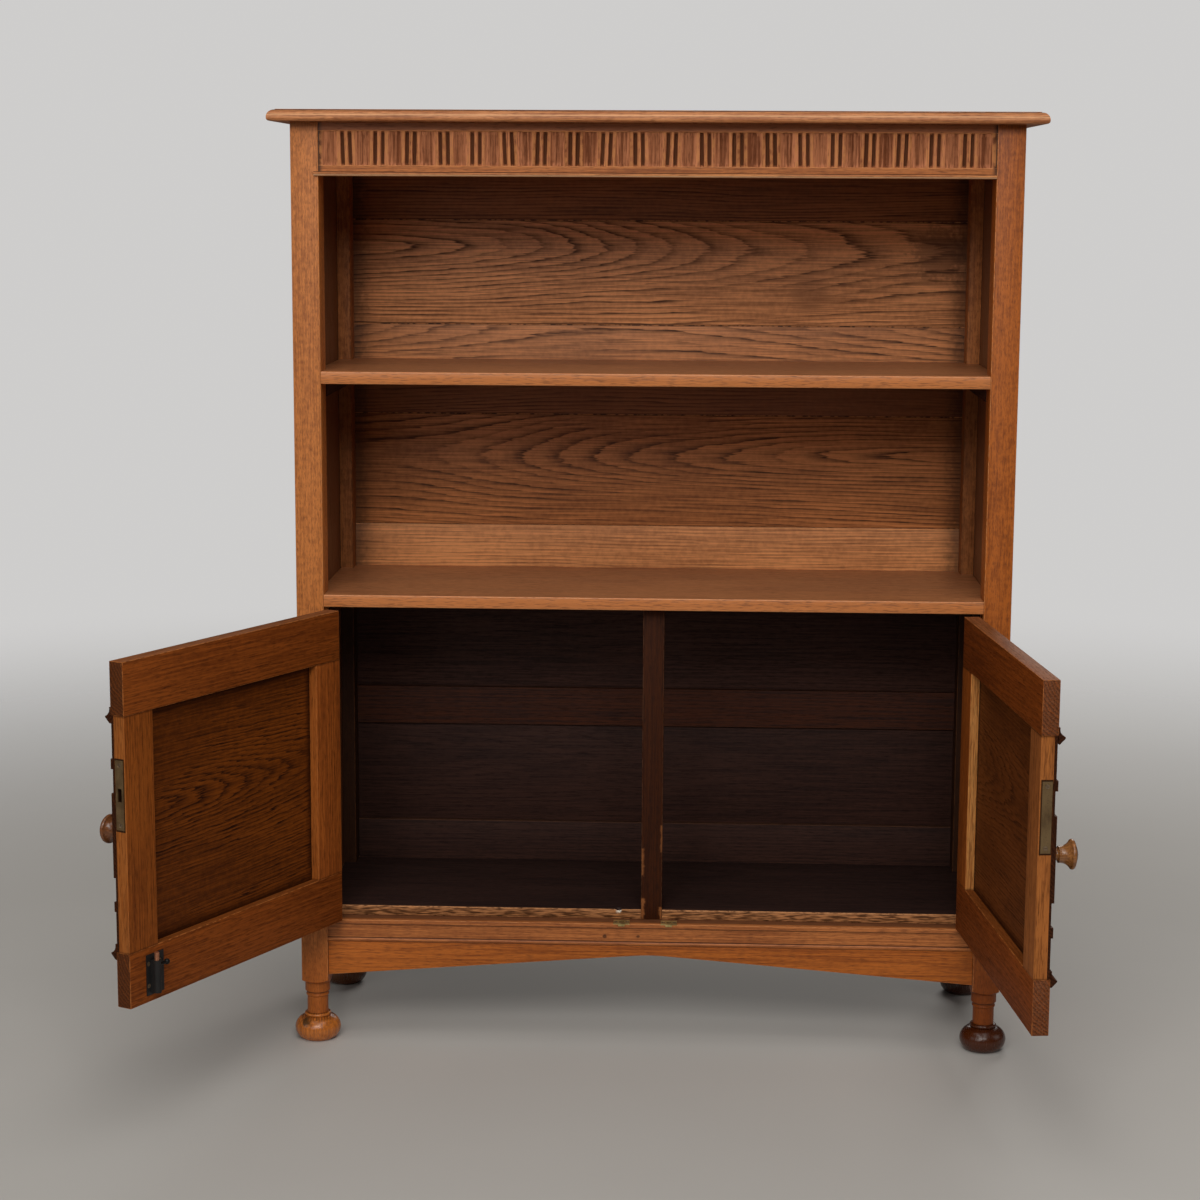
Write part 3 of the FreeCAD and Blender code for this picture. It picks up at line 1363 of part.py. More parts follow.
def build_case():
    """Makes every sub-part that stands still."""
    node(top_board(), "top_board")
    node(frieze_rail(), "frieze_rail")
    node(frieze_lip(), "frieze_lip")
    feet, top_rails, low_rails = [], [], []
    for side, word in ((LEFT, "left"), (RIGHT, "right")):
        node(front_post(side, "front_%s_post" % word), "front_%s_post" % word)
        node(rear_post(side, "rear_%s_post" % word), "rear_%s_post" % word)
        feet.append(bun_foot("front_%s_foot" % word, front_post_x[side], front_post_y))
        feet.append(bun_foot("rear_%s_foot" % word, rear_post_x[side], rear_post_y))
        node(block(word + "_side_panel", panel_x[side], panel_y, panel_z), word + "_side_panel")
        top_groove = (side_top_rail_z[0] - 1, panel_z[1] + s.fit_gap)
        top_rails.append(side_rail(word + "_top_rail", side, side_top_rail_z, top_groove))
        low_groove = (panel_z[0] - s.fit_gap, ledge + 1)
        low_rails.append(side_rail(word + "_bottom_rail", side, side_bottom_rail_z, low_groove))
    node(group("bun_feet", feet), "bun_feet")
    node(group("side_top_rails", top_rails), "side_top_rails")
    node(group("side_bottom_rails", low_rails), "side_bottom_rails")
    shelf_front = front + s.front_setback
    node(notched_board("upper_shelf", (shelf_front, back_y[0]), shelf_z(s.upper_shelf_top)), "upper_shelf")
    node(notched_board("lower_shelf", (shelf_front, back_rail_front), shelf_z(s.lower_shelf_top)), "lower_shelf")
    node(shelf_bearers(), "shelf_bearers")
    node(cupboard_floor(), "cupboard_floor")
    node(block("centre_muntin", muntin_x, muntin_y, (ledge, s.lower_shelf_top - s.shelf_thick)), "centre_muntin")
    node(bottom_rail(), "bottom_rail")
    node(apron(), "apron")
    node(back_board("back_top_board", s.upper_board_high, under_top), "back_top_board")
    node(back_board("back_upper_board", s.middle_board_high, s.upper_board_high), "back_upper_board")
    node(back_board("back_middle_board", s.lower_board_high, s.middle_board_high), "back_middle_board")
    node(back_board("back_lower_board", s.shelf_rail_high, s.lower_board_high), "back_lower_board")
    node(back_rail("back_shelf_rail", s.shelf_rail_low, s.shelf_rail_high), "back_shelf_rail")
    node(back_board("cupboard_back_upper_board", s.cupboard_rail_high, s.shelf_rail_low),
         "cupboard_back_upper_board")
    node(back_rail("cupboard_back_rail", s.cupboard_rail_low, s.cupboard_rail_high), "cupboard_back_rail")
    node(back_board("cupboard_back_lower_board", s.base_rail_high, s.cupboard_rail_low),
         "cupboard_back_lower_board")
    node(back_rail("cupboard_back_base_rail", s.back_bottom, s.base_rail_high), "cupboard_back_base_rail")
    hang_case_ironwork()


build_case()
Door(LEFT, "left", s.left_open_angle).build()
Door(RIGHT, "right", s.right_open_angle).build()
doc.recompute()

faults = [thing.Name for thing in doc.Objects if "Invalid" in thing.State or "Error" in thing.State]
for piece in nodes:
    if piece.Shape.isNull() or not piece.Shape.isValid() or not piece.Shape.Solids:
        faults.append(piece.Label)
if faults:
    raise RuntimeError("not built soundly: " + ", ".join(faults))

os.makedirs("parts", exist_ok=True)
for piece in nodes:
    piece.Shape.exportStep("parts/%s.step" % piece.Label)
print("%d sub-parts, %d solids" % (len(nodes), sum(len(piece.Shape.Solids) for piece in nodes)))
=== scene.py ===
"""Oak bookcase with open bays over a cupboard: finishes, small fittings and a studio about the frame."""
import json
import logging
import math
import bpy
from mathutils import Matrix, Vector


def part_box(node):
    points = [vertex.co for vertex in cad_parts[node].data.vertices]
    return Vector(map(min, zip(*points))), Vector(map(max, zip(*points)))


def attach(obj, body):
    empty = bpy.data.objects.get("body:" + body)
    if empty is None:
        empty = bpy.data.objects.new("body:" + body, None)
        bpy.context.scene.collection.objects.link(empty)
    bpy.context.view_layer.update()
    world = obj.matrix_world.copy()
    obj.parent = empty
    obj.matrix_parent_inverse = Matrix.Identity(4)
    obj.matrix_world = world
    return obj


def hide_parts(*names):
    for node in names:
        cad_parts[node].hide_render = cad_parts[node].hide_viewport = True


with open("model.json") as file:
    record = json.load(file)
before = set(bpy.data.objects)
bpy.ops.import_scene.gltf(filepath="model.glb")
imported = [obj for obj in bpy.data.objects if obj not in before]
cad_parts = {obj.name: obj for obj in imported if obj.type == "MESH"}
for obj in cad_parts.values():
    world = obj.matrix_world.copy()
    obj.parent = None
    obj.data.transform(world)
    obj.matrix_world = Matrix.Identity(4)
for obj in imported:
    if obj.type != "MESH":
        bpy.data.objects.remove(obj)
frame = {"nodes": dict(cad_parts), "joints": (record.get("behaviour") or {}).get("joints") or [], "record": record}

import zlib
from dataclasses import dataclass, field, replace
from enum import Enum
from functools import partial
from typing import Callable, Sequence, Union

import bmesh
import bpy
import numpy as np
from mathutils import Matrix, Vector

log = logging.getLogger("bookcase")

Colour = tuple[float, float, float]
Triple = tuple[float, float, float]
Value = Union[float, Sequence[float], bpy.types.NodeSocket]

X_WAY: Triple = (1.0, 0.0, 0.0)
Y_WAY: Triple = (0.0, 1.0, 0.0)
Z_WAY: Triple = (0.0, 0.0, 1.0)

MILLIMETRE = 0.001
ENDLESS = 9.0
CLEAN = -1.0
WELD = 0.002 * MILLIMETRE
ON_PLANE = 0.03 * MILLIMETRE
HAIR = 0.001 * MILLIMETRE
FLAT_ANGLE = math.radians(0.4)
SHARP_ANGLE = math.radians(40)
SMOOTH_ANGLE = math.radians(38)
CARVED_ANGLE = math.radians(50)
SHORTEST_ARRIS = 4 * MILLIMETRE


class Cut(Enum):
    """How a board was sawn: where the heart of the tree lies from the board, across it and below its face."""

    PLAIN = (0.012, -0.046)
    CROWN = (0.024, -0.034)
    RIFT = (0.062, -0.052)
    QUARTER = (0.170, -0.010)


class ArrisRule(Enum):
    """Which sharp edges of a timber are eased."""

    NONE = "none"
    OUTSIDE = "outside"
    FRONT = "front"


# Node trees


class NodeTree:
    """Adds nodes to a tree and feeds their inputs."""

    tree: bpy.types.NodeTree

    def add(self, kind: str, **settings: object) -> bpy.types.Node:
        """Adds a node.

        Args:
            kind: The node's type.
            settings: Its properties.

        Returns:
            The node.
        """
        node = self.tree.nodes.new(kind)
        for key, value in settings.items():
            setattr(node, key, value)
        return node

    def feed(self, socket: bpy.types.NodeSocket, value: Value) -> None:
        """Links or sets one input.

        Args:
            socket: The input.
            value: A socket to link, or a value to set.
        """
        if isinstance(value, bpy.types.NodeSocket):
            self.tree.links.new(value, socket)
        elif socket.type == "RGBA":
            socket.default_value = (*value, 1.0)
        else:
            socket.default_value = value

    def math(self, operation: str, *values: Value, clamp: bool = False) -> bpy.types.NodeSocket:
        """Adds a sum of up to three values.

        Args:
            operation: The sum's name.
            values: Its terms.
            clamp: Whether the result is held between 0 and 1.

        Returns:
            The result.
        """
        node = self.add("ShaderNodeMath", operation=operation, use_clamp=clamp)
        for socket, value in zip(node.inputs, values):
            self.feed(socket, value)
        return node.outputs[0]


class GeometryTree(NodeTree):
    """Geometry Nodes with named inputs, run once into a plain mesh."""

    def __init__(self, name: str, kinds: dict[str, str], result: str) -> None:
        """Starts the tree with its inputs.

        Args:
            name: The tree's name.
            kinds: The kind of each named input.
            result: The name of what comes out.
        """
        self.tree = bpy.data.node_groups.new(name, "GeometryNodeTree")
        self.names: dict[str, str] = {}
        for key, kind in kinds.items():
            socket = self.tree.interface.new_socket(key, in_out="INPUT", socket_type="NodeSocket" + kind)
            self.names[key] = socket.identifier
        self.tree.interface.new_socket(result, in_out="OUTPUT", socket_type="NodeSocketGeometry")
        self.given = self.add("NodeGroupInput").outputs

    def close(self, shape: bpy.types.NodeSocket) -> None:
        """Makes the shape real, gives it its finish and sends it out.

        Args:
            shape: The finished shape.
        """
        real = self.add("GeometryNodeRealizeInstances")
        finish = self.add("GeometryNodeSetMaterial")
        self.feed(real.inputs["Geometry"], shape)
        self.feed(finish.inputs["Geometry"], real.outputs["Geometry"])
        self.feed(finish.inputs["Material"], self.given["Finish"])
        self.feed(self.add("NodeGroupOutput").inputs[0], finish.outputs["Geometry"])

    def run(self, mesh: bpy.types.Mesh, values: dict[str, object]) -> bpy.types.Mesh:
        """Runs the tree on a mesh.

        Args:
            mesh: What the tree starts from.
            values: What its inputs are given.

        Returns:
            The plain mesh that comes out.
        """
        source = bpy.data.objects.new(mesh.name, mesh)
        bpy.context.scene.collection.objects.link(source)
        modifier = source.modifiers.new("shape", "NODES")
        modifier.node_group = self.tree
        for name, value in values.items():
            modifier[self.names[name]] = value
        graph = bpy.context.evaluated_depsgraph_get()
        plain = bpy.data.meshes.new_from_object(source.evaluated_get(graph), depsgraph=graph)
        source.modifiers.remove(modifier)
        bpy.data.objects.remove(source)
        return plain


def mesh_of(shape: bmesh.types.BMesh, name: str) -> bpy.types.Mesh:
    """Turns a shape into a mesh and frees it.

    Args:
        shape: The shape.
        name: The mesh's name.

    Returns:
        The mesh.
    """
    mesh = bpy.data.meshes.new(name)
    shape.to_mesh(mesh)
    shape.free()
    return mesh


def round_off(shape: bmesh.types.BMesh, edges: list, easing: float, layer: bmesh.types.BMLayerItem) -> None:
    """Rounds edges and notes the new faces as arrises.

    Args:
        shape: The shape.
        edges: The edges.
        easing: How far from each edge the rounding starts.
        layer: Where the number arris is kept.
    """
    made = bmesh.ops.bevel(shape, geom=edges, offset=easing, offset_type="OFFSET", segments=3, profile=0.5,
                           affect="EDGES", clamp_overlap=False)
    for face in made["faces"]:
        face[layer] = 1.0
        face.smooth = True


# Shading


class Shading(NodeTree):
    """Builds the node tree of one material."""

    MIX_COLOURS = (6, 7)
    MIX_RESULT = 2

    def __init__(self, name: str) -> None:
        """Starts a material with one shader.

        Args:
            name: The material's name.
        """
        self.material = bpy.data.materials.new(name)
        self.material.use_nodes = True
        self.tree = self.material.node_tree
        self.tree.nodes.clear()
        output = self.add("ShaderNodeOutputMaterial")
        self.shader = self.add("ShaderNodeBsdfPrincipled")
        self.tree.links.new(self.shader.outputs["BSDF"], output.inputs["Surface"])
        self.place = self.add("ShaderNodeTexCoord").outputs["Object"]

    def vector(self, operation: str, *values: Value) -> bpy.types.Node:
        """Adds a vector sum.

        Args:
            operation: The sum's name.
            values: Its terms.

        Returns:
            The node, whose outputs are a vector and a number.
        """
        node = self.add("ShaderNodeVectorMath", operation=operation)
        for socket, value in zip(node.inputs, values):
            self.feed(socket, value)
        return node

    def stretch(self, vector: Value, scale: Triple) -> bpy.types.NodeSocket:
        """Returns a vector scaled by each axis."""
        return self.vector("MULTIPLY", vector, scale).outputs[0]

    def measure(self, operation: str, *vectors: Value) -> bpy.types.NodeSocket:
        """Returns a number drawn from vectors, such as their distance."""
        return self.vector(operation, *vectors).outputs["Value"]

    def parts(self, vector: Value) -> tuple[bpy.types.NodeSocket, ...]:
        """Takes a vector apart.

        Args:
            vector: The vector.

        Returns:
            Its three numbers.
        """
        node = self.add("ShaderNodeSeparateXYZ")
        self.feed(node.inputs[0], vector)
        return tuple(node.outputs)

    def noise(self, vector: Value, scale: float, detail: float = 2.0,
              result: int = 0) -> bpy.types.NodeSocket:
        """Adds a noise texture.

        Args:
            vector: Where it is read.
            scale: Its scale.
            detail: How many finer layers it has.
            result: 0 for its number and 1 for its colour.

        Returns:
            The number or the colour.
        """
        node = self.add("ShaderNodeTexNoise")
        self.feed(node.inputs["Vector"], vector)
        node.inputs["Scale"].default_value = scale
        node.inputs["Detail"].default_value = detail
        return node.outputs[result]

    def ease(self, value: Value, low: float, high: float, top: float = 1.0) -> bpy.types.NodeSocket:
        """Turns a number into a smooth step.

        Args:
            value: The number.
            low: Where the step starts.
            high: Where it ends.
            top: What it rises to.

        Returns:
            The step.
        """
        node = self.add("ShaderNodeMapRange", interpolation_type="SMOOTHSTEP")
        for name, number in (("Value", value), ("From Min", low), ("From Max", high), ("To Max", top)):
            self.feed(node.inputs[name], number)
        return node.outputs[0]

    def fall(self, value: Value, low: float, high: float, top: float) -> bpy.types.NodeSocket:
        """Returns a smooth step that falls from its top to nothing."""
        return self.math("SUBTRACT", top, self.ease(value, low, high, top))

    def mix(self, share: Value, first: Value, second: Value) -> bpy.types.NodeSocket:
        """Mixes two colours.

        Args:
            share: How much of the second colour shows.
            first: The first colour.
            second: The second colour.

        Returns:
            The mixed colour.
        """
        node = self.add("ShaderNodeMix", data_type="RGBA")
        for number, value in zip((0, *self.MIX_COLOURS), (share, first, second)):
            self.feed(node.inputs[number], value)
        return node.outputs[self.MIX_RESULT]

    def attribute(self, name: str) -> bpy.types.NodeSocket:
        """Returns a number that the mesh carries."""
        return self.add("ShaderNodeAttribute", attribute_name=name).outputs["Fac"]

    def finish(self, colour: Value, roughness: Value, height: Value, bump: float,
               depth: float) -> bpy.types.Material:
        """Closes the material.

        Args:
            colour: The base colour.
            roughness: The roughness.
            height: The height that the bump follows.
            bump: The bump's strength.
            depth: The bump's depth in metres.

        Returns:
            The material.
        """
        self.feed(self.shader.inputs["Base Color"], colour)
        self.feed(self.shader.inputs["Roughness"], roughness)
        node = self.add("ShaderNodeBump")
        node.inputs["Strength"].default_value = bump
        node.inputs["Distance"].default_value = depth
        self.feed(node.inputs["Height"], height)
        self.feed(self.shader.inputs["Normal"], node.outputs[0])
        return self.material


@dataclass(frozen=True)
class Tint:
    """A colour that comes in along one way, from one place to another."""

    way: Triple
    start: float
    end: float
    colour: Colour
    share: float = 1.0
    patchy: float = 0.0
    patch_run: float = 30.0
    patch_rise: float = 160.0


@dataclass(frozen=True)
class Spot:
    """A stain, chip or rubbed place about a point."""

    centre: Triple
    radius: float
    colour: Colour
    share: float = 1.0


@dataclass(frozen=True)
class Mark:
    """A line, border or patch: a soft-edged box, with its halves along, across and through the piece."""

    centre: Triple
    half: Triple
    reach: float
    colour: Colour
    share: float = 1.0
    ragged: float = 0.4


@dataclass(frozen=True)
class DirtAndShade:
    """Darkening along a piece's borders, where it meets its neighbours: old wax and dirt at the joints, and
    painted shade in the corners beside them.
    """

    ends: float
    edges: float
    reach: float
    share: float = 0.75
    colour: Colour = (0.030, 0.010, 0.004)
    ragged: float = 1.2


@dataclass(frozen=True)
class OakFinish:
    """A stained and waxed oak surface."""

    light: Colour
    dark: Colour
    pore: Colour
    worn: Colour
    ring_gap: float = 0.0036
    ring_share: float = 0.6
    wander: float = 0.022
    jag: float = 0.003
    drift: float = 0.03
    drift_rate: float = 4.2
    eye: float = 0.2
    pore_share: float = 0.85
    pore_run: float = 80.0
    streak_share: float = 0.7
    streak_run: float = 9.0
    mottle_share: float = 0.2
    blotch_share: float = 0.45
    ridge_share: float = 0.0
    roughness: float = 0.45
    gloss: float = 0.3
    bump: float = 0.35
    end_dark: float = 0.45
    end_light: float = 1.0


@dataclass(frozen=True)
class Grain:
    """How the wood lies in a piece."""

    along: Triple
    across: Triple
    cut: Cut = Cut.RIFT

    def turn(self) -> Matrix:
        """Returns the turn that brings the grain to X and the board's width to Y."""
        along, across = Vector(self.along).normalized(), Vector(self.across).normalized()
        return Matrix((along, across, along.cross(across)))


def own_box(points: np.ndarray, grain: Grain) -> tuple[np.ndarray, np.ndarray]:
    """Returns the lowest and highest corner of a piece along and across its own grain."""
    turned = points @ np.array(grain.turn()).T
    return turned.min(axis=0), turned.max(axis=0)


def corners_of(mesh: bpy.types.Mesh) -> np.ndarray:
    """Returns the corners of a mesh."""
    return np.array([vertex.co for vertex in mesh.vertices])


class OakShading(Shading):
    """Oak as a solid: growth rings about the tree's heart, pores, end grain, wear, dirt and painted shade."""

    SWAY_GRAIN = (1.9, 9.0, 9.0)
    JAG_GRAIN = (24.0, 95.0, 95.0)
    TOOTH_GRAIN = (22.0, 480.0, 480.0)
    BLOTCH_GRAIN = (3.2, 13.0, 13.0)
    PORE_WIDTH = 900.0
    STREAK_WIDTH = 420.0
    MOTTLE_SCALE = 140.0
    TREE_LENGTH = 3.0
    HEART_PLAY = 0.02
    SHIFT_STEPS = (0, 7, 14)
    SHIFT_COUNT = 997
    TOOTH_SHARE = 1.2
    LEAST_YEAR = 0.4
    LEAST_LINE = 0.3
    LEAST_PORES = 0.5
    EARLY_FALL = 3.0
    RING_SHADE = 0.5
    MIDDLE_SHADE = 0.35
    DARKEST_INK = 0.92
    END_SHARE = 0.85
    RUBBED_SHARE = 0.8
    SPOT_CORE = 0.45
    SPOT_RAGGED = 1.6
    INK_ROUGHNESS = 0.2
    BLOTCH_ROUGHNESS = 0.10
    WAX_SHEEN = 0.05
    STREAK_HEIGHT = 0.35
    INK_HEIGHT = -0.8
    END_STEP = (0.72, 0.92)
    LATE_STEP = (0.25, 0.8)
    RUBBED_STEP = (0.36, 0.60)
    RIDGE_STEP = (0.0, 0.14)
    WORN_STEP = (0.30, 0.62)
    HOLLOW_STEP = (0.06, 0.50, 0.42)
    DIRT_AND_SHADE_STEP = (0.50, 0.95, 0.93)
    SPRING_STEP = (0.0, 0.10)
    PATCH_STEP = (0.28, 0.52)
    LINE_STEP = (0.36, 0.60)
    PORE_STEP = (0.50, 0.68)
    STREAK_STEP = (0.36, 0.64)
    BLOTCH_STEP = (0.30, 0.70)
    MOTTLE_STEP = (0.34, 0.66)
    BUMP_DEPTH = 0.4 * MILLIMETRE

    def __init__(self, name: str, finish: OakFinish, grain: Grain, points: np.ndarray) -> None:
        """Keeps what the wood is made from.

        Args:
            name: The piece's name, which also picks its place in the tree.
            finish: The surface.
            grain: How the wood lies.
            points: The corners of the piece.
        """
        super().__init__("oak_" + name)
        self.look = finish
        self.grain = grain
        turn = grain.turn()
        low, high = own_box(points, grain)
        self.half = (high - low) / 2
        self.middle = Vector((low + high) / 2)
        number = zlib.crc32(name.encode())
        self.shift = tuple((number >> step) % self.SHIFT_COUNT / self.SHIFT_COUNT
                           for step in self.SHIFT_STEPS)
        node = self.add("ShaderNodeMapping")
        node.inputs["Rotation"].default_value = turn.to_euler()
        node.inputs["Location"].default_value = -self.middle
        self.feed(node.inputs["Vector"], self.place)
        self.board = node.outputs[0]
        self.tree_place = self.vector("ADD", self.board,
                                      (self.shift[0] * self.TREE_LENGTH, 0.0, 0.0)).outputs[0]
        self.mottle = self.noise(self.place, self.MOTTLE_SCALE, 3.0)

    def about_half(self, value: Value, reach: float, base: Value) -> bpy.types.NodeSocket:
        """Returns a base number plus a noise about its middle, times a reach."""
        return self.math("MULTIPLY_ADD", self.math("SUBTRACT", value, 0.5), reach, base)

    def at_least(self, value: Value, least: float) -> bpy.types.NodeSocket:
        """Returns a number from 0 to 1 brought to between its least and 1."""
        return self.math("MULTIPLY_ADD", value, 1.0 - least, least)

    def grained(self, spread: Triple, detail: float) -> bpy.types.NodeSocket:
        """Returns a noise drawn out along the grain."""
        return self.noise(self.stretch(self.tree_place, spread), 1.0, detail)

    def growth(self) -> tuple[bpy.types.NodeSocket, bpy.types.NodeSocket]:
        """Makes the growth rings about the heart.

        Returns:
            How far through its year each place is, and how strong that year shows, both from 0 to 1.
        """
        look = self.look
        across, below = self.grain.cut.value
        _, along_y, along_z = self.parts(self.tree_place)
        sway = self.noise(self.stretch(self.tree_place, self.SWAY_GRAIN), 1.0, 1.5, 1)
        sway_y, sway_z, _ = self.parts(sway)
        jag = self.grained(self.JAG_GRAIN, 2.0)
        tooth = self.grained(self.TOOTH_GRAIN, 1.0)
        offset_y = self.math("SUBTRACT", along_y, across + (self.shift[1] - 0.5) * self.HEART_PLAY)
        offset_y = self.about_half(sway_y, look.wander, offset_y)
        eye_gap = self.math("SUBTRACT", self.parts(self.board)[0], look.eye)
        rise = self.math("COSINE", self.math("MULTIPLY", eye_gap, look.drift_rate))
        offset_z = self.math("MULTIPLY_ADD", rise, look.drift * 0.5, self.math("SUBTRACT", along_z, below))
        offset_z = self.about_half(sway_z, look.wander, offset_z)
        square = self.math("ADD", self.math("MULTIPLY", offset_y, offset_y),
                           self.math("MULTIPLY", offset_z, offset_z))
        radius = self.about_half(jag, look.jag, self.math("SQRT", square))
        radius = self.about_half(tooth, look.jag * self.TOOTH_SHARE, radius)
        count = self.math("DIVIDE", radius, look.ring_gap)
        ring = self.add("ShaderNodeTexWhiteNoise", noise_dimensions="1D")
        self.feed(ring.inputs["W"], self.math("FLOOR", count))
        return self.math("FRACT", count), self.at_least(ring.outputs["Value"], self.LEAST_YEAR)

    def with_end_grain(self, colour: Value, year: Value, strength: Value) -> bpy.types.NodeSocket:
        """Shows the rings across the ends of the boards.

        Args:
            colour: The colour of the long faces.
            year: How far through its year each place is.
            strength: How strong that year shows.

        Returns:
            The colour of all faces.
        """
        normal = self.add("ShaderNodeTexCoord").outputs["Normal"]
        facing = self.measure("DOT_PRODUCT", normal, Vector(self.grain.along).normalized())
        end = self.ease(self.math("ABSOLUTE", facing), *self.END_STEP)
        stripe = self.math("MULTIPLY", self.ease(year, *self.LATE_STEP), strength)
        low = tuple(channel * self.look.end_dark for channel in self.look.dark)
        high = tuple(channel * self.look.end_light for channel in self.look.light)
        cut = self.mix(stripe, low, high)
        return self.mix(self.math("MULTIPLY", end, self.END_SHARE), colour, cut)

    def grime_share(self, grime: DirtAndShade) -> bpy.types.NodeSocket:
        """Finds how much of the dirt and painted shade along the borders shows.

        Args:
            grime: How the dirt and painted shade lie.

        Returns:
            Its share at each place.
        """
        along_x, along_y, _ = self.parts(self.board)
        gaps = []
        for place, half, inset in ((along_x, self.half[0], grime.ends), (along_y, self.half[1], grime.edges)):
            if inset != CLEAN:
                gaps.append(self.math("SUBTRACT", half - inset, self.math("ABSOLUTE", place)))
        gap = gaps[0] if len(gaps) == 1 else self.math("MINIMUM", *gaps)
        gap = self.about_half(self.mottle, grime.reach * grime.ragged, gap)
        return self.fall(gap, 0.0, grime.reach, grime.share)

    def tint_share(self, tint: Tint) -> bpy.types.NodeSocket:
        """Finds how much of a colour shows that comes in along one way.

        Args:
            tint: The colour and where it comes in.

        Returns:
            Its share at each place.
        """
        reach = self.measure("DOT_PRODUCT", self.place, tint.way)
        share = self.ease(reach, tint.start, tint.end, tint.share)
        if tint.patchy:
            spread = (tint.patch_run, tint.patch_rise, tint.patch_rise)
            smear = self.grained(spread, 2.0)
            share = self.math("MULTIPLY", share, self.ease(smear, 0.5 - tint.patchy, 0.5 + tint.patchy))
        return share

    def spot_share(self, spot: Spot) -> bpy.types.NodeSocket:
        """Finds how much of a stain or chip shows.

        Args:
            spot: The stain.

        Returns:
            Its share at each place.
        """
        away = self.measure("DISTANCE", self.place, spot.centre)
        ragged = self.about_half(self.mottle, spot.radius * self.SPOT_RAGGED, away)
        return self.fall(ragged, spot.radius * self.SPOT_CORE, spot.radius, spot.share)

    def mark_share(self, mark: Mark) -> bpy.types.NodeSocket:
        """Finds how much of a line, border or patch shows.

        Args:
            mark: The line or patch.

        Returns:
            Its share at each place.
        """
        centre = self.grain.turn() @ Vector(mark.centre) - self.middle
        gap: Value = -1.0
        for place, middle, half in zip(self.parts(self.board), centre, mark.half):
            if half < ENDLESS:
                away = self.math("ABSOLUTE", self.math("SUBTRACT", place, middle))
                gap = self.math("MAXIMUM", gap, self.math("SUBTRACT", away, half))
        gap = self.about_half(self.mottle, mark.reach * mark.ragged, gap)
        return self.fall(gap, 0.0, mark.reach, mark.share)

    def laid(self, colour: Value, layers: Sequence, share: Callable) -> Value:
        """Lays layers over a colour.

        Args:
            colour: The colour below.
            layers: The layers, from the lowest.
            share: What finds how much of a layer shows.

        Returns:
            The colour with them.
        """
        for layer in layers:
            colour = self.mix(share(layer), colour, layer.colour)
        return colour

    def with_wear_and_shade(self, colour: Value) -> bpy.types.NodeSocket:
        """Rubs the eased arrises light and darkens what was carved out with old dirt and painted shade.

        Args:
            colour: The colour below.

        Returns:
            The colour with the wear.
        """
        rubbed = self.math("MULTIPLY", self.attribute("arris"), self.ease(self.mottle, *self.RUBBED_STEP))
        colour = self.mix(self.math("MULTIPLY", rubbed, self.RUBBED_SHARE), colour, self.look.worn)
        if not self.look.ridge_share:
            return colour
        hollow = self.attribute("hollow")
        ridge = self.fall(hollow, *self.RIDGE_STEP, self.look.ridge_share)
        ridge = self.math("MULTIPLY", ridge, self.ease(self.mottle, *self.WORN_STEP))
        colour = self.mix(ridge, colour, self.look.worn)
        # Hollows and flutes darken with their depth: old dirt and painted shade of the recess.
        colour = self.mix(self.ease(hollow, *self.HOLLOW_STEP), colour, self.look.pore)
        return self.mix(self.ease(hollow, *self.DIRT_AND_SHADE_STEP), colour, CARVING_DIRT_AND_SHADE)

    def build(self, grime: Sequence[DirtAndShade] = (), tints: Sequence[Tint] = (), spots: Sequence[Spot] = (),
              marks: Sequence[Mark] = ()) -> bpy.types.Material:
        """Makes the material.

        Args:
            grime: Dirt and painted shade along the borders.
            tints: Colours that come in along the piece.
            spots: Stains and chips.
            marks: Lines, borders and patches.

        Returns:
            The material.
        """
        look = self.look
        year, strength = self.growth()
        fleck = self.grained((look.pore_run, self.PORE_WIDTH, self.PORE_WIDTH), 1.5)
        streak = self.grained((look.streak_run, self.STREAK_WIDTH, self.STREAK_WIDTH), 3.0)
        blotch = self.grained(self.BLOTCH_GRAIN, 2.5)
        early = self.math("POWER", self.math("SUBTRACT", 1.0, year), self.EARLY_FALL)
        early = self.math("MULTIPLY", early, self.ease(year, *self.SPRING_STEP))
        patch = self.math("MULTIPLY", strength, self.ease(blotch, *self.PATCH_STEP))
        early = self.math("MULTIPLY", early, patch)
        broken = self.at_least(self.ease(fleck, *self.LINE_STEP), self.LEAST_LINE)
        line = self.math("MULTIPLY", early, broken)
        sparse = self.ease(fleck, *self.PORE_STEP)
        sparse = self.math("MULTIPLY", sparse, self.at_least(early, self.LEAST_PORES))
        shade = self.math("MULTIPLY_ADD", early, look.ring_share * self.RING_SHADE, self.MIDDLE_SHADE)
        shade = self.about_half(self.ease(streak, *self.STREAK_STEP), look.streak_share, shade)
        shade = self.about_half(self.ease(blotch, *self.BLOTCH_STEP), -look.blotch_share, shade)
        shade = self.about_half(self.ease(self.mottle, *self.MOTTLE_STEP), look.mottle_share, shade)
        colour = self.mix(self.math("ADD", shade, 0.0, clamp=True), look.light, look.dark)
        colour = self.with_end_grain(colour, year, strength)
        colour = self.laid(colour, tints, self.tint_share)
        ink = self.math("MULTIPLY", line, look.ring_share)
        ink = self.math("MAXIMUM", ink, self.math("MULTIPLY", sparse, look.pore_share))
        colour = self.mix(self.math("MINIMUM", ink, self.DARKEST_INK), colour, look.pore)
        colour = self.laid(colour, grime, self.grime_share)
        colour = self.laid(colour, marks, self.mark_share)
        colour = self.laid(colour, spots, self.spot_share)
        colour = self.with_wear_and_shade(colour)
        roughness = self.math("MULTIPLY_ADD", ink, self.INK_ROUGHNESS, look.roughness - self.WAX_SHEEN)
        roughness = self.math("MULTIPLY_ADD", blotch, self.BLOTCH_ROUGHNESS, roughness)
        height = self.math("MULTIPLY", ink, self.INK_HEIGHT)
        height = self.math("MULTIPLY_ADD", streak, self.STREAK_HEIGHT, height)
        self.shader.inputs["Specular IOR Level"].default_value = look.gloss
        return self.finish(colour, roughness, height, look.bump, self.BUMP_DEPTH)


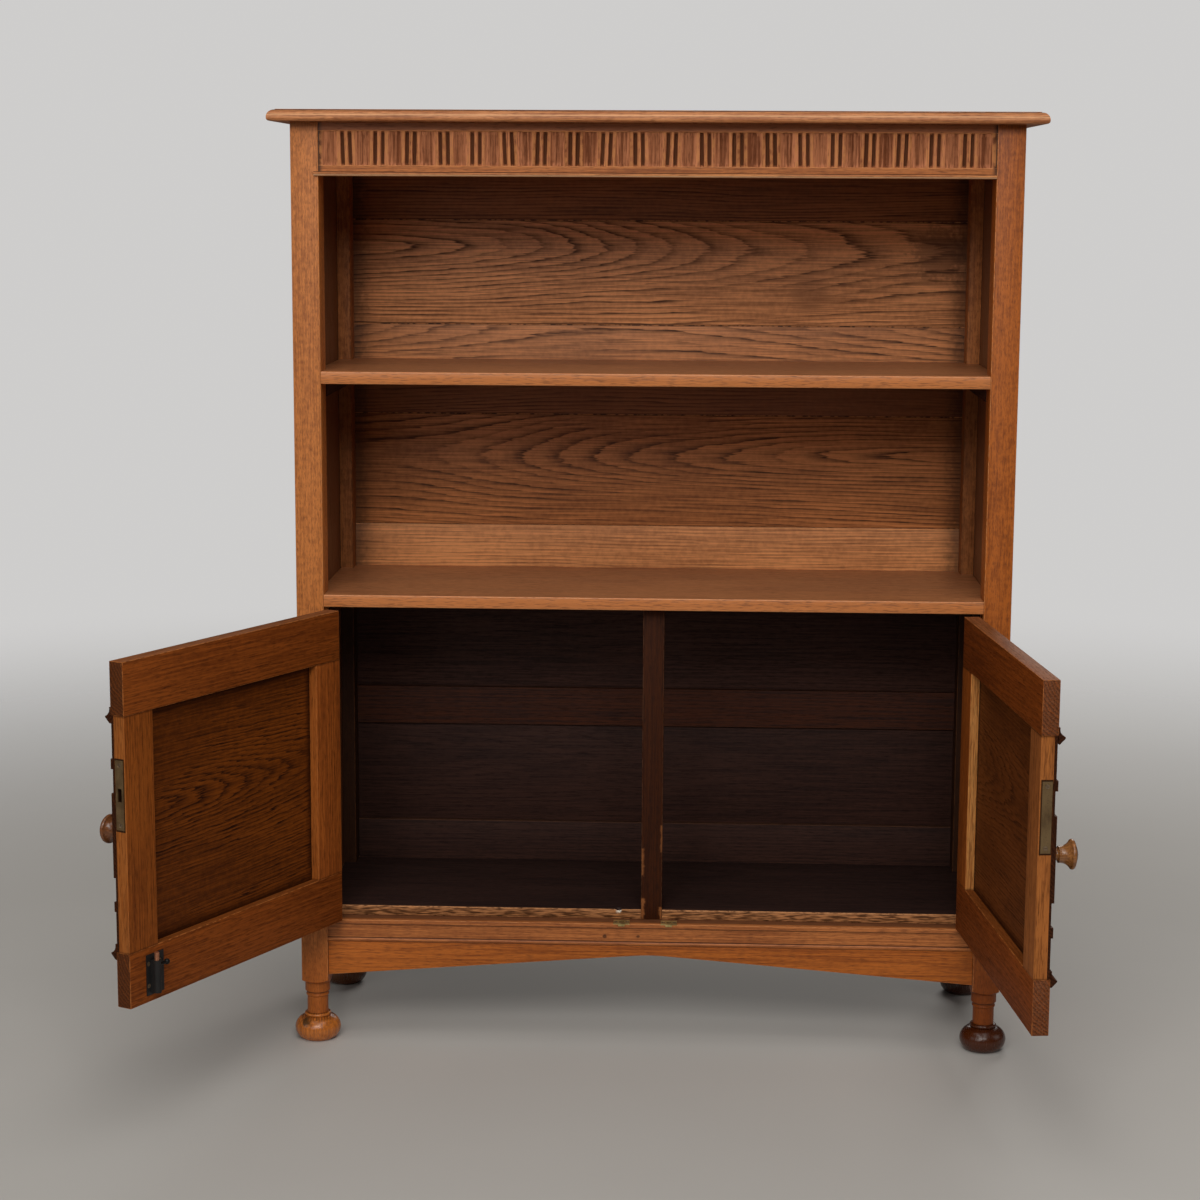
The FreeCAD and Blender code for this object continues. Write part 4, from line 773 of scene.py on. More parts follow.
@dataclass(frozen=True)
class MetalFinish:
    """A metal with tarnish and rubbed places."""

    GRIT_SCALE = 700.0
    SCRATCH_GRAIN = (260.0, 260.0, 2400.0)
    PATCH_STEP = (0.30, 0.70)
    GRIT_STEP = (0.55, 0.80, 0.55)
    AXIS_SOFT = 0.2 * MILLIMETRE
    PATCH_ROUGHNESS = 0.25
    GRIT_ROUGHNESS = 0.12
    POLISH = 0.12
    SCRATCH_HEIGHT = 0.4
    GRIT_HEIGHT = 0.6
    BUMP = 0.25
    BUMP_DEPTH = 0.2 * MILLIMETRE

    name: str
    bright: Colour
    dull: Colour
    stain: Colour
    metallic: float = 0.8
    roughness: float = 0.42
    patch_scale: float = 55.0
    axis: Triple = (0.0, 0.0, 0.0)
    axis_radius: float = 0.0
    off_axis: Colour = (0.02, 0.019, 0.018)

    def build(self) -> bpy.types.Material:
        """Makes the material.

        Returns:
            The material.
        """
        shading = Shading("metal_" + self.name)
        patch = shading.noise(shading.place, self.patch_scale, 3.0)
        grit = shading.noise(shading.place, self.GRIT_SCALE, 2.0)
        scratch = shading.noise(shading.stretch(shading.place, self.SCRATCH_GRAIN), 1.0, 1.0)
        colour = shading.mix(shading.ease(patch, *self.PATCH_STEP), self.bright, self.dull)
        colour = shading.mix(shading.ease(grit, *self.GRIT_STEP), colour, self.stain)
        if self.axis_radius:
            away = shading.measure("DISTANCE", shading.stretch(shading.place, (1.0, 1.0, 0.0)), self.axis)
            outside = shading.ease(away, self.axis_radius, self.axis_radius + self.AXIS_SOFT)
            colour = shading.mix(outside, colour, self.off_axis)
        roughness = shading.math("MULTIPLY_ADD", patch, self.PATCH_ROUGHNESS, self.roughness - self.POLISH)
        roughness = shading.math("MULTIPLY_ADD", grit, self.GRIT_ROUGHNESS, roughness)
        height = shading.math("MULTIPLY", grit, self.GRIT_HEIGHT)
        height = shading.math("MULTIPLY_ADD", scratch, self.SCRATCH_HEIGHT, height)
        shading.shader.inputs["Metallic"].default_value = self.metallic
        return shading.finish(colour, roughness, height, self.BUMP, self.BUMP_DEPTH)


# Colour of the deepest flutes: old dirt and painted shade.
CARVING_DIRT_AND_SHADE: Colour = (0.088, 0.030, 0.012)

CASE_OAK = OakFinish(light=(0.5569, 0.1878, 0.05022), dark=(0.2892, 0.08298, 0.02115),
                     pore=(0.085, 0.022, 0.006), worn=(0.64, 0.260, 0.090))
APRON_OAK = replace(CASE_OAK, light=(0.545, 0.15, 0.02), dark=(0.285, 0.068, 0.0085))
POST_OAK = replace(CASE_OAK, ring_share=0.4, wander=0.008, drift=0.01, pore_run=180.0, pore_share=0.75,
                   streak_share=0.6, streak_run=32.0, mottle_share=0.5)
LEFT_POST_OAK = replace(POST_OAK, light=(0.6076, 0.202, 0.04368), dark=(0.3626, 0.1071, 0.02128))
RIGHT_POST_OAK = replace(POST_OAK, light=(0.48, 0.125, 0.0140), dark=(0.25, 0.0575, 0.0058))
# A darker, duller copy of the post oak for the rear posts: painted shade of the case's inside corners.
SHADED_INNER_OAK = replace(POST_OAK, light=(0.4124, 0.1436, 0.04096), dark=(0.2134, 0.06658, 0.01884), gloss=0.12,
                    worn=(0.13, 0.048, 0.017))
TOP_OAK = replace(CASE_OAK, light=(0.6304, 0.2535, 0.09323), dark=(0.3362, 0.09809, 0.02542),
                  ring_share=0.8, gloss=0.4)
LIP_OAK = replace(CASE_OAK, light=(0.62, 0.235, 0.066))
SHELF_OAK = replace(CASE_OAK, light=(0.4786, 0.1928, 0.07501), dark=(0.2601, 0.09412, 0.0383), ring_share=0.5,
                    roughness=0.34, gloss=0.5)
BACK_OAK = replace(CASE_OAK, light=(0.8299, 0.3553, 0.1425), dark=(0.2997, 0.1161, 0.04452),
                   pore=(0.036, 0.012, 0.005), ring_share=1.5, ring_gap=0.0052, wander=0.034, jag=0.0020,
                   drift=0.06, drift_rate=3.9, eye=0.4, pore_run=26.0, pore_share=0.42, streak_share=0.5,
                   roughness=0.48)
LOWER_BACK_OAK = replace(BACK_OAK, light=(0.627, 0.2373, 0.07788), dark=(0.22, 0.07458, 0.02478), eye=-0.4)
STRAIGHT_BACK_OAK = replace(BACK_OAK, light=(0.6968, 0.2793, 0.1019), ring_share=1.5,
                            ring_gap=0.0042, wander=0.026, drift=0.03, drift_rate=5.0, eye=0.0)
# A darker copy of the straight back oak for the back's top board: painted shade under the frieze.
SHADED_BACK_OAK = replace(STRAIGHT_BACK_OAK, light=(0.373, 0.1314, 0.04048), dark=(0.1512, 0.05085, 0.01644))
RAIL_BACK_OAK = replace(STRAIGHT_BACK_OAK, pore_share=0.3, ring_share=0.9, mottle_share=0.25,
                        light=(0.8448, 0.3533, 0.1259), dark=(0.384, 0.1402, 0.04706))
# Cupboard oak, very dark: dark stain with painted shade of the cupboard's inside; the lower boards are darker
# still.
CUPBOARD_STAIN_AND_SHADE_OAK = OakFinish(light=(0.07348, 0.03208, 0.02334), dark=(0.03429, 0.01603, 0.01343),
                         pore=(0.009, 0.004, 0.003), worn=(0.10, 0.042, 0.02), ring_gap=0.005, wander=0.03,
                         roughness=0.55, gloss=0.14)
CUPBOARD_RAIL_OAK = replace(CUPBOARD_STAIN_AND_SHADE_OAK, light=(0.0876, 0.0264, 0.01176))
FLOOR_OAK = replace(CUPBOARD_STAIN_AND_SHADE_OAK, light=(0.040, 0.019, 0.0150), dark=(0.018, 0.0095, 0.0085),
                    worn=(0.60, 0.280, 0.120))
LOW_CUPBOARD_OAK = replace(CUPBOARD_STAIN_AND_SHADE_OAK, light=(0.053, 0.0222, 0.0155), dark=(0.025, 0.0111, 0.0090))
MUNTIN_OAK = replace(CUPBOARD_STAIN_AND_SHADE_OAK, light=(0.0558, 0.01305, 0.0021), dark=(0.03069, 0.00696, 0.0014))
DOOR_OAK = replace(CASE_OAK, light=(0.31, 0.076, 0.0105), dark=(0.155, 0.034, 0.005),
                   pore=(0.045, 0.010, 0.002), worn=(0.46, 0.155, 0.038), roughness=0.55, gloss=0.1,
                   ring_share=0.75, end_dark=0.25, end_light=0.55)
RIGHT_RAIL_OAK = replace(DOOR_OAK, light=(0.27, 0.062, 0.0080), dark=(0.135, 0.028, 0.0038),
                         end_dark=0.5, end_light=1.1)
STILE_OAK = replace(DOOR_OAK, light=(0.40, 0.104, 0.0145), dark=(0.20, 0.046, 0.007))
LEFT_HINGE_OAK = replace(STILE_OAK, light=(0.418, 0.1086, 0.01656), dark=(0.209, 0.04876, 0.00828))
LEFT_MEETING_OAK = replace(STILE_OAK, light=(0.35, 0.093, 0.013), dark=(0.175, 0.041, 0.006))
RIGHT_MEETING_OAK = replace(STILE_OAK, light=(0.4606, 0.153, 0.0377), dark=(0.235, 0.069, 0.0182))
PANEL_OAK = replace(DOOR_OAK, light=(0.2232, 0.05415, 0.00494), dark=(0.076, 0.0171, 0.001995),
                    pore=(0.016, 0.004, 0.001), ring_share=1.8, ring_gap=0.0038, wander=0.024, jag=0.0034,
                    drift=0.05, drift_rate=3.2, eye=-0.49, pore_run=60.0, pore_share=0.65, streak_share=0.4,
                    blotch_share=0.6)
RIGHT_PANEL_OAK = replace(PANEL_OAK, light=(0.1947, 0.0532, 0.009975), dark=(0.0855, 0.02185, 0.004275),
                          ring_share=1.2, wander=0.03, eye=0.3)
# A dark copy of the door oak for the mouldings: dark stain with painted shade.
STRIP_OAK = replace(DOOR_OAK, light=(0.126, 0.0364, 0.0112), dark=(0.056, 0.0154, 0.0056))
CARVED_OAK = replace(CASE_OAK, light=(0.600, 0.2250, 0.102), dark=(0.225, 0.0690, 0.0275), ring_share=0.6,
                     streak_share=1.0, blotch_share=0.9, ridge_share=0.6, roughness=0.6, gloss=0.08)
FOOT_OAK = replace(CASE_OAK, light=(0.66, 0.207, 0.036), dark=(0.33, 0.088, 0.014), ring_share=0.4,
                   roughness=0.20, gloss=0.55)
LEFT_KNOB_OAK = replace(FOOT_OAK, light=(0.24, 0.085, 0.028), dark=(0.12, 0.040, 0.013))
RIGHT_KNOB_OAK = replace(FOOT_OAK, light=(0.43, 0.180, 0.055), dark=(0.22, 0.082, 0.024))

# Colours of the doors' far edges: worn finish and painted light on faces turned up or towards the lamps.
GOLDEN_WORN_LIT_EDGE: Colour = (0.50, 0.172, 0.040)
PALE_WORN_LIT_EDGE: Colour = (0.53, 0.215, 0.085)
# Thin dark lines in creases, under ledges and between turned rings: painted shade with old dirt.
DIRT_AND_SHADE: Colour = (0.045, 0.013, 0.005)

AGED_BRASS = MetalFinish("aged_brass", bright=(0.32, 0.210, 0.100), dull=(0.16, 0.096, 0.046),
                         stain=(0.06, 0.045, 0.025))
STRIKE_BRASS = replace(AGED_BRASS, name="strike_brass", bright=(0.75, 0.60, 0.25), dull=(0.34, 0.26, 0.10),
                       roughness=0.34)
BLACK_IRON = MetalFinish("black_iron", bright=(0.014, 0.013, 0.013), dull=(0.009, 0.0085, 0.0085),
                         stain=(0.04, 0.022, 0.014), metallic=0.2, roughness=0.5)
COPPER_ROD = MetalFinish("copper_rod", bright=(0.66, 0.30, 0.17), dull=(0.36, 0.15, 0.08),
                         stain=(0.10, 0.05, 0.03), axis=(-0.53895, -0.47290, 0.0),
                         axis_radius=3.0 * MILLIMETRE)
SCREW_STEEL = MetalFinish("screw_steel", bright=(0.34, 0.24, 0.15), dull=(0.17, 0.11, 0.065),
                          stain=(0.06, 0.04, 0.03))
NAIL_IRON = MetalFinish("nail_iron", bright=(0.13, 0.11, 0.10), dull=(0.06, 0.045, 0.04),
                        stain=(0.12, 0.05, 0.025))


# Timbers


@dataclass(frozen=True)
class Timber:
    """One wooden piece of the frame, how its grain lies and how its arrises are eased."""

    node: str
    finish: OakFinish
    grain: Grain
    rule: ArrisRule = ArrisRule.OUTSIDE
    easing: float = 0.9 * MILLIMETRE
    grime: tuple[DirtAndShade, ...] = ()
    tints: tuple[Tint, ...] = ()
    spots: tuple[Spot, ...] = ()
    marks: tuple[Mark, ...] = ()

    def dress(self, slots: dict[str, str], bodies: dict[str, str]) -> bpy.types.Object:
        """Gives the piece its wood and, where a rule says so, an eased copy that stands for it.

        Args:
            slots: Not used.
            bodies: The body of each node.

        Returns:
            The object that shows.
        """
        cad = frame["nodes"][self.node]
        shading = OakShading(self.node, self.finish, self.grain, corners_of(cad.data))
        wood = shading.build(self.grime, self.tints, self.spots, self.marks)
        if self.rule is ArrisRule.NONE:
            cad.data.materials.clear()
            cad.data.materials.append(wood)
            return cad
        mesh = self.eased(cad.data)
        mesh.materials.append(wood)
        piece = bpy.data.objects.new(self.node + "_eased", mesh)
        bpy.context.scene.collection.objects.link(piece)
        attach(piece, bodies[self.node])
        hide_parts(self.node)
        return piece

    def eased(self, source: bpy.types.Mesh) -> bpy.types.Mesh:
        """Copies a mesh with its chosen arrises rounded.

        Args:
            source: The mesh as packed.

        Returns:
            The eased mesh, whose rounded faces carry the number arris.
        """
        shape = bmesh.new()
        shape.from_mesh(source)
        bmesh.ops.remove_doubles(shape, verts=shape.verts, dist=WELD)
        bmesh.ops.dissolve_limit(shape, angle_limit=FLAT_ANGLE, verts=shape.verts, edges=shape.edges)
        layer = shape.faces.layers.float.new("arris")
        box = own_box(np.array([vertex.co for vertex in shape.verts]), self.grain)
        chosen = [edge for edge in shape.edges if self.is_arris(edge, box)]
        round_off(shape, chosen, self.easing, layer)
        for face in shape.faces:
            face.smooth = True
            face.material_index = 0
        for edge in shape.edges:
            edge.smooth = edge.is_manifold and edge.calc_face_angle(0.0) < SMOOTH_ANGLE
        return mesh_of(shape, self.node + "_eased")

    def is_arris(self, edge: bmesh.types.BMEdge, box: tuple[np.ndarray, np.ndarray]) -> bool:
        """Says whether an edge is eased.

        Args:
            edge: The edge.
            box: The lowest and highest corner of the piece along its own ways.

        Returns:
            True for an outer arris of the chosen kind.
        """
        if not edge.is_manifold or edge.calc_length() < SHORTEST_ARRIS:
            return False
        if edge.calc_face_angle_signed(0.0) < SHARP_ANGLE:
            return False
        if self.rule is ArrisRule.FRONT:
            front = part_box(self.node)[0].y
            return all(abs(vertex.co.y - front) < ON_PLANE for vertex in edge.verts)
        turn = np.array(self.grain.turn())
        ends = [np.array(vertex.co) @ turn.T for vertex in edge.verts]
        planes = 0
        for axis in range(3):
            for side in box:
                planes += all(abs(end[axis] - side[axis]) < ON_PLANE for end in ends)
        return planes >= 2


@dataclass
class Door:
    """One framed door, whose ways follow the angle at which it stands open."""

    word: str
    closed_out: Triple
    plate: str
    hinge_oak: OakFinish
    meeting_oak: OakFinish
    rail_oak: OakFinish
    panel_oak: OakFinish
    knob_oak: OakFinish
    worn_lit_inner_edge: Colour
    rail_end: Colour
    panel_groove: float = 6.0 * MILLIMETRE
    stile_tenon: float = 15.0 * MILLIMETRE
    out: Vector = field(init=False)
    through: Vector = field(init=False)

    def __post_init__(self) -> None:
        """Works out the door's own ways at rest."""
        hinge = next(item for item in frame["joints"] if item["name"] == self.word + "_door_hinge")
        swing = Matrix.Rotation(math.radians(-hinge["range_deg"][0]), 3, Vector(hinge["axis"]))
        self.out = swing @ Vector(self.closed_out)
        self.through = swing @ Vector(Y_WAY)

    def far_edge(self, node: str, way: Vector, colour: Colour, share: float) -> Tint:
        """Returns the tint of a piece's far edge, patchy like worn finish; on edges turned up or to the lamps it
        is paler, painted light.

        Args:
            node: The piece.
            way: The way that the edge faces.
            colour: The tint's colour.
            share: How strong it is.

        Returns:
            The tint.
        """
        reach = float((corners_of(frame["nodes"][node].data) @ np.array(way)).max())
        return Tint(tuple(way), reach - 0.5 * MILLIMETRE, reach - 0.1 * MILLIMETRE, colour, share,
                    patchy=0.45, patch_run=20.0, patch_rise=500.0)

    def plate_border(self) -> Mark:
        """Finds the dark edge of the recess that the plate is let into.

        Returns:
            The mark about the plate's face.
        """
        points = corners_of(frame["nodes"][self.plate].data)
        reach = points @ np.array(self.out)
        face = points[reach > reach.max() - MILLIMETRE]
        middle = (face.min(axis=0) + face.max(axis=0)) / 2
        return Mark(tuple(middle), (0.0406, 0.0120, 0.0066), 0.8 * MILLIMETRE, (0.02, 0.008, 0.003), 0.95)

    def timbers(self) -> list[Timber]:
        """Lists the door's wooden pieces.

        Returns:
            The pieces, rails first.
        """
        hinge, meeting = self.word + "_hinge_stile", self.word + "_meeting_stile"
        top, bottom = self.word + "_door_top_rail", self.word + "_door_bottom_rail"
        up = Vector(Z_WAY)
        level = Grain(tuple(self.out), Z_WAY, Cut.RIFT)
        upright = Grain(Z_WAY, tuple(self.out), Cut.QUARTER)
        figured = Grain(tuple(self.out), Z_WAY, Cut.CROWN)
        turned = Grain(tuple(self.through), Z_WAY, Cut.RIFT)
        groove = self.panel_groove
        # The wide dark border of the panel, inside the frame, is painted shade of its recess with old dirt.
        sight = DirtAndShade(groove, groove, 13 * MILLIMETRE, 0.8, (0.020, 0.005, 0.001))
        joint = DirtAndShade(self.stile_tenon, CLEAN, 2.5 * MILLIMETRE, 0.6, (0.05, 0.012, 0.003))
        seam = DirtAndShade(CLEAN, 0.0, 2.0 * MILLIMETRE, 0.35, (0.06, 0.015, 0.003))
        soft, softer = 0.7 * MILLIMETRE, 0.5 * MILLIMETRE
        rails = [Timber(rail, self.rail_oak, level, easing=soft, grime=(seam,),
                        tints=(self.far_edge(rail, up, edge, share),
                               self.far_edge(rail, self.out, self.rail_end, 0.5)))
                 for rail, edge, share in ((top, PALE_WORN_LIT_EDGE, 0.9), (bottom, GOLDEN_WORN_LIT_EDGE, 0.5))]
        return [
            *rails,
            Timber(hinge, self.hinge_oak, upright, easing=softer, grime=(joint,),
                   tints=(self.far_edge(hinge, self.out, self.worn_lit_inner_edge, 0.85),)),
            Timber(meeting, self.meeting_oak, upright, easing=softer, grime=(joint,),
                   tints=(self.far_edge(meeting, self.out, GOLDEN_WORN_LIT_EDGE, 0.85),),
                   marks=(self.plate_border(),)),
            Timber(self.word + "_door_panel", self.panel_oak, figured, ArrisRule.NONE, grime=(sight,)),
            Timber(self.word + "_door_mouldings", STRIP_OAK, level, ArrisRule.NONE),
            Timber(self.word + "_door_knob", self.knob_oak, turned, ArrisRule.NONE),
        ]


@dataclass
class Carcase:
    """The fixed case: top, frieze, posts, feet, sides, shelves, back and cupboard."""

    level: Grain = Grain(X_WAY, Z_WAY, Cut.RIFT)
    flat: Grain = Grain(X_WAY, Y_WAY, Cut.RIFT)
    upright: Grain = Grain(Z_WAY, X_WAY, Cut.QUARTER)
    side: Grain = Grain(Z_WAY, Y_WAY, Cut.PLAIN)
    deep: Grain = Grain(Y_WAY, Z_WAY, Cut.RIFT)
    back_lap: float = 11.5 * MILLIMETRE
    panel_groove: float = 8.0 * MILLIMETRE
    line_reach: float = 0.5 * MILLIMETRE

    def dirt_and_shade_line(self, level: float, half: float) -> Mark:
        """Returns a thin dark line along a level piece: painted shade in a crease or under a ledge, with old dirt.
        """
        return Mark((0.0, 0.0, level), (ENDLESS, half, ENDLESS), self.line_reach, DIRT_AND_SHADE, 0.8)

    def post_shade(self, node: str, inward: int) -> tuple[Mark, ...]:
        """Returns the painted shade on a rear post's inner faces, in the cupboard and in the lower bay.

        Args:
            node: The post.
            inward: 1 where the inside lies to the right of the post, -1 where it lies to the left.

        Returns:
            The marks.
        """
        low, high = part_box(node)
        panel_low, panel_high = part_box("left_side_panel" if inward > 0 else "right_side_panel")
        inner = (high.x if inward > 0 else low.x) + inward * 10 * MILLIMETRE
        panel = (panel_low.x + panel_high.x) / 2
        middle = ((inner + panel) / 2, low.y + 0.016)
        half = (abs(inner - panel) / 2, 0.020)
        return (Mark((*middle, 0.361), (0.190, *half), 3 * MILLIMETRE, (0.016, 0.007, 0.005), 0.92),
                Mark((*middle, 0.690), (0.120, *half), 20 * MILLIMETRE, (0.060, 0.020, 0.006), 0.30))

    def timbers(self) -> list[Timber]:
        """Lists the case's wooden pieces.

        Returns:
            The pieces, from the posts to the cupboard's back.
        """
        figured = Grain(X_WAY, Z_WAY, Cut.CROWN)
        straight = Grain(X_WAY, Z_WAY, Cut.QUARTER)
        small = 0.6 * MILLIMETRE
        plain = partial(Timber, rule=ArrisRule.NONE)
        board = partial(Timber, easing=small)
        # The wide borders darken the back boards' ends beside the rear posts and the side panels inside their
        # frames: dirt at the joints and painted shade in the corners.
        lap = DirtAndShade(self.back_lap, CLEAN, 30 * MILLIMETRE, 0.7)
        seam = DirtAndShade(CLEAN, 0.0, 2.2 * MILLIMETRE, 0.9, ragged=0.4)
        boarded = (lap, seam)
        shadowed = (lap, replace(seam, reach=2.6 * MILLIMETRE, share=0.9))
        framed = (DirtAndShade(self.panel_groove, self.panel_groove, 10 * MILLIMETRE, 0.6),)
        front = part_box("front_left_post")[0].y
        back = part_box("back_upper_board")[0].y
        edge = (Tint(Y_WAY, front + 0.0035, front + 0.0015, (0.72, 0.241, 0.062), 0.7),)
        # Colour of the side panels' inner faces: painted shade inside the case.
        inside = (0.104, 0.048, 0.024)
        # Painted shadow under the top's overhang, darkening the posts' upper ends.
        painted_top_shadow = Tint(Z_WAY, 1.118, 1.131, (0.10, 0.028, 0.009), 0.5)
        floor_front = Tint(Y_WAY, front + 0.0250, front + 0.0224, (0.120, 0.046, 0.016))
        fine, finer = 0.35 * MILLIMETRE, 0.3 * MILLIMETRE
        half_line = self.line_reach
        pale = (0.36, 0.130, 0.040)
        neck_rings = tuple(Mark((0.0, 0.0, level), (fine, ENDLESS, ENDLESS), half_line, DIRT_AND_SHADE, 0.75)
                           for level in (0.0335, 0.0605))
        chips = tuple(Mark((across, 0.0, level), (tall, wide, ENDLESS), reach, pale, share, 2.4)
                      for across, level, tall, wide, reach, share in (
                          (-0.0098, 0.166, 0.017, 0.0006, 0.004, 0.8),
                          (0.0142, 0.163, 0.009, 0.0005, 0.003, 0.8),
                          (-0.0098, 0.232, 0.016, 0.0004, 0.003, 0.6),
                          (0.0142, 0.262, 0.016, 0.0003, 0.002, 0.5)))
        rail_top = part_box("back_shelf_rail")[1].z
        base_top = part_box("cupboard_back_base_rail")[1].z
        # A pale line along the proud rail's top edge: worn wax and a painted highlight where the edge catches the
        # light from above.
        rubbed = Tint(Z_WAY, rail_top - 0.0010, rail_top - 0.0003, (0.95, 0.560, 0.290), 0.75,
                      patchy=0.4, patch_run=12.0, patch_rise=500.0)
        return [
            Timber("front_left_post", LEFT_POST_OAK, self.upright, marks=neck_rings,
                   tints=(Tint(Z_WAY, 0.16, 0.08, (0.42, 0.100, 0.009), 0.65), painted_top_shadow)),
            Timber("front_right_post", RIGHT_POST_OAK, self.upright, marks=neck_rings,
                   tints=(Tint(Z_WAY, 0.16, 0.08, (0.21, 0.041, 0.002), 0.78), painted_top_shadow)),
            Timber("rear_left_post", SHADED_INNER_OAK, self.upright, marks=self.post_shade("rear_left_post", 1)),
            Timber("rear_right_post", SHADED_INNER_OAK, self.upright, marks=self.post_shade("rear_right_post", -1)),
            plain("left_side_panel", CASE_OAK, self.side, grime=framed,
                  tints=(Tint(X_WAY, -0.4165, -0.4125, inside, 0.8),)),
            plain("right_side_panel", CASE_OAK, self.side, grime=framed,
                  tints=(Tint(X_WAY, 0.4165, 0.4125, inside, 0.8),)),
            # Along the top's front edge: a dark line at the very top, painted shade with old dirt, and a pale line
            # on the moulding below it, a painted highlight on its arris.
            plain("top_board", TOP_OAK, self.flat,
                  marks=(Mark((0.0, 0.0, 1.1450), (ENDLESS, ENDLESS, fine), half_line, DIRT_AND_SHADE, 0.75),
                         Mark((0.0, 0.0, 1.1396), (ENDLESS, ENDLESS, finer), half_line, (0.85, 0.46, 0.20),
                              0.6))),
            # The lip: a dark line where it meets the band above, painted shade with old dirt, and a pale line
            # along its nose, a painted highlight on a worn edge.
            plain("frieze_lip", LIP_OAK, self.level,
                  marks=(self.dirt_and_shade_line(1.0735, finer),
                         Mark((0.0, front - 0.004, 1.0698), (ENDLESS, fine, 1.5 * MILLIMETRE), half_line,
                              (0.75, 0.50, 0.30), 0.75))),
            # The feet's second tint, towards the back, is painted shade on the rear feet under the case.
            plain("bun_feet", FOOT_OAK, Grain(Z_WAY, X_WAY, Cut.PLAIN),
                  tints=(Tint(X_WAY, -0.05, 0.05, (0.046, 0.0066, 0.0006), 0.95),
                         Tint(Y_WAY, -0.03, 0.03, (0.05, 0.014, 0.006), 0.85)),
                  spots=(Spot((-0.4295, front + 0.0015, 0.0275), 0.009, (0.05, 0.03, 0.012), 0.85),
                         Spot((-0.4380, front + 0.0150, 0.0100), 0.011, (0.03, 0.014, 0.006), 0.85))),
            plain("side_top_rails", CASE_OAK, self.deep),
            plain("side_bottom_rails", CASE_OAK, self.deep),
            Timber("upper_shelf", SHELF_OAK, self.flat, easing=1.2 * MILLIMETRE, tints=edge),
            Timber("lower_shelf", SHELF_OAK, self.flat, easing=1.2 * MILLIMETRE, tints=edge),
            plain("shelf_bearers", CUPBOARD_STAIN_AND_SHADE_OAK, self.deep),
            Timber("cupboard_floor", FLOOR_OAK, self.flat, easing=1.4 * MILLIMETRE,
                   tints=(floor_front, replace(floor_front, colour=(0.62, 0.270, 0.105), share=0.85,
                                               patchy=0.12, patch_run=60.0, patch_rise=560.0)),
                   spots=(Spot((-0.0385, front + 0.0235, 0.171), 0.0060, (0.90, 0.82, 0.70)),)),
            Timber("centre_muntin", MUNTIN_OAK, self.upright, marks=chips),
            board("bottom_rail", CASE_OAK, straight,
                  tints=(Tint(Y_WAY, front + 0.005, front + 0.010, (0.13, 0.052, 0.024), 0.85),),
                  marks=(self.dirt_and_shade_line(0.1530, fine), self.dirt_and_shade_line(0.1355, fine)),
                  spots=(Spot((-0.055, front + 0.003, 0.142), 0.0035, DIRT_AND_SHADE, 0.8),
                         Spot((-0.014, front + 0.003, 0.142), 0.0030, DIRT_AND_SHADE, 0.7))),
            Timber("apron", APRON_OAK, self.level, ArrisRule.FRONT, small,
                   marks=(self.dirt_and_shade_line(0.1305, finer),)),
            board("back_top_board", SHADED_BACK_OAK, straight, grime=shadowed),
            board("back_upper_board", BACK_OAK, figured, grime=boarded,
                  spots=(Spot((0.194, back, 0.926), 0.030, (0.16, 0.060, 0.024), 0.35),
                         Spot((0.360, back, 0.976), 0.045, (0.10, 0.036, 0.014), 0.55))),
            # The middle board's tint below the upper shelf is painted shade under the shelf.
            board("back_middle_board", STRAIGHT_BACK_OAK, self.level, grime=boarded,
                  tints=(Tint(Z_WAY, 0.824, 0.820, (0.16, 0.045, 0.011), 0.7),)),
            board("back_lower_board", LOWER_BACK_OAK, figured, grime=boarded),
            board("back_shelf_rail", RAIL_BACK_OAK, straight, grime=(lap,), tints=(rubbed,)),
            board("cupboard_back_upper_board", CUPBOARD_STAIN_AND_SHADE_OAK, self.level),
            board("cupboard_back_rail", CUPBOARD_RAIL_OAK, straight),
            board("cupboard_back_lower_board", LOW_CUPBOARD_OAK, figured),
            # The base rail's top edge gets the same pale line in a darker colour: worn wax and painted highlight.
            board("cupboard_back_base_rail", LOW_CUPBOARD_OAK, straight,
                  tints=(replace(rubbed, start=base_top - 0.0012, end=base_top - 0.0003,
                                 colour=(0.11, 0.045, 0.020), share=0.8, patchy=0.3),)),
        ]


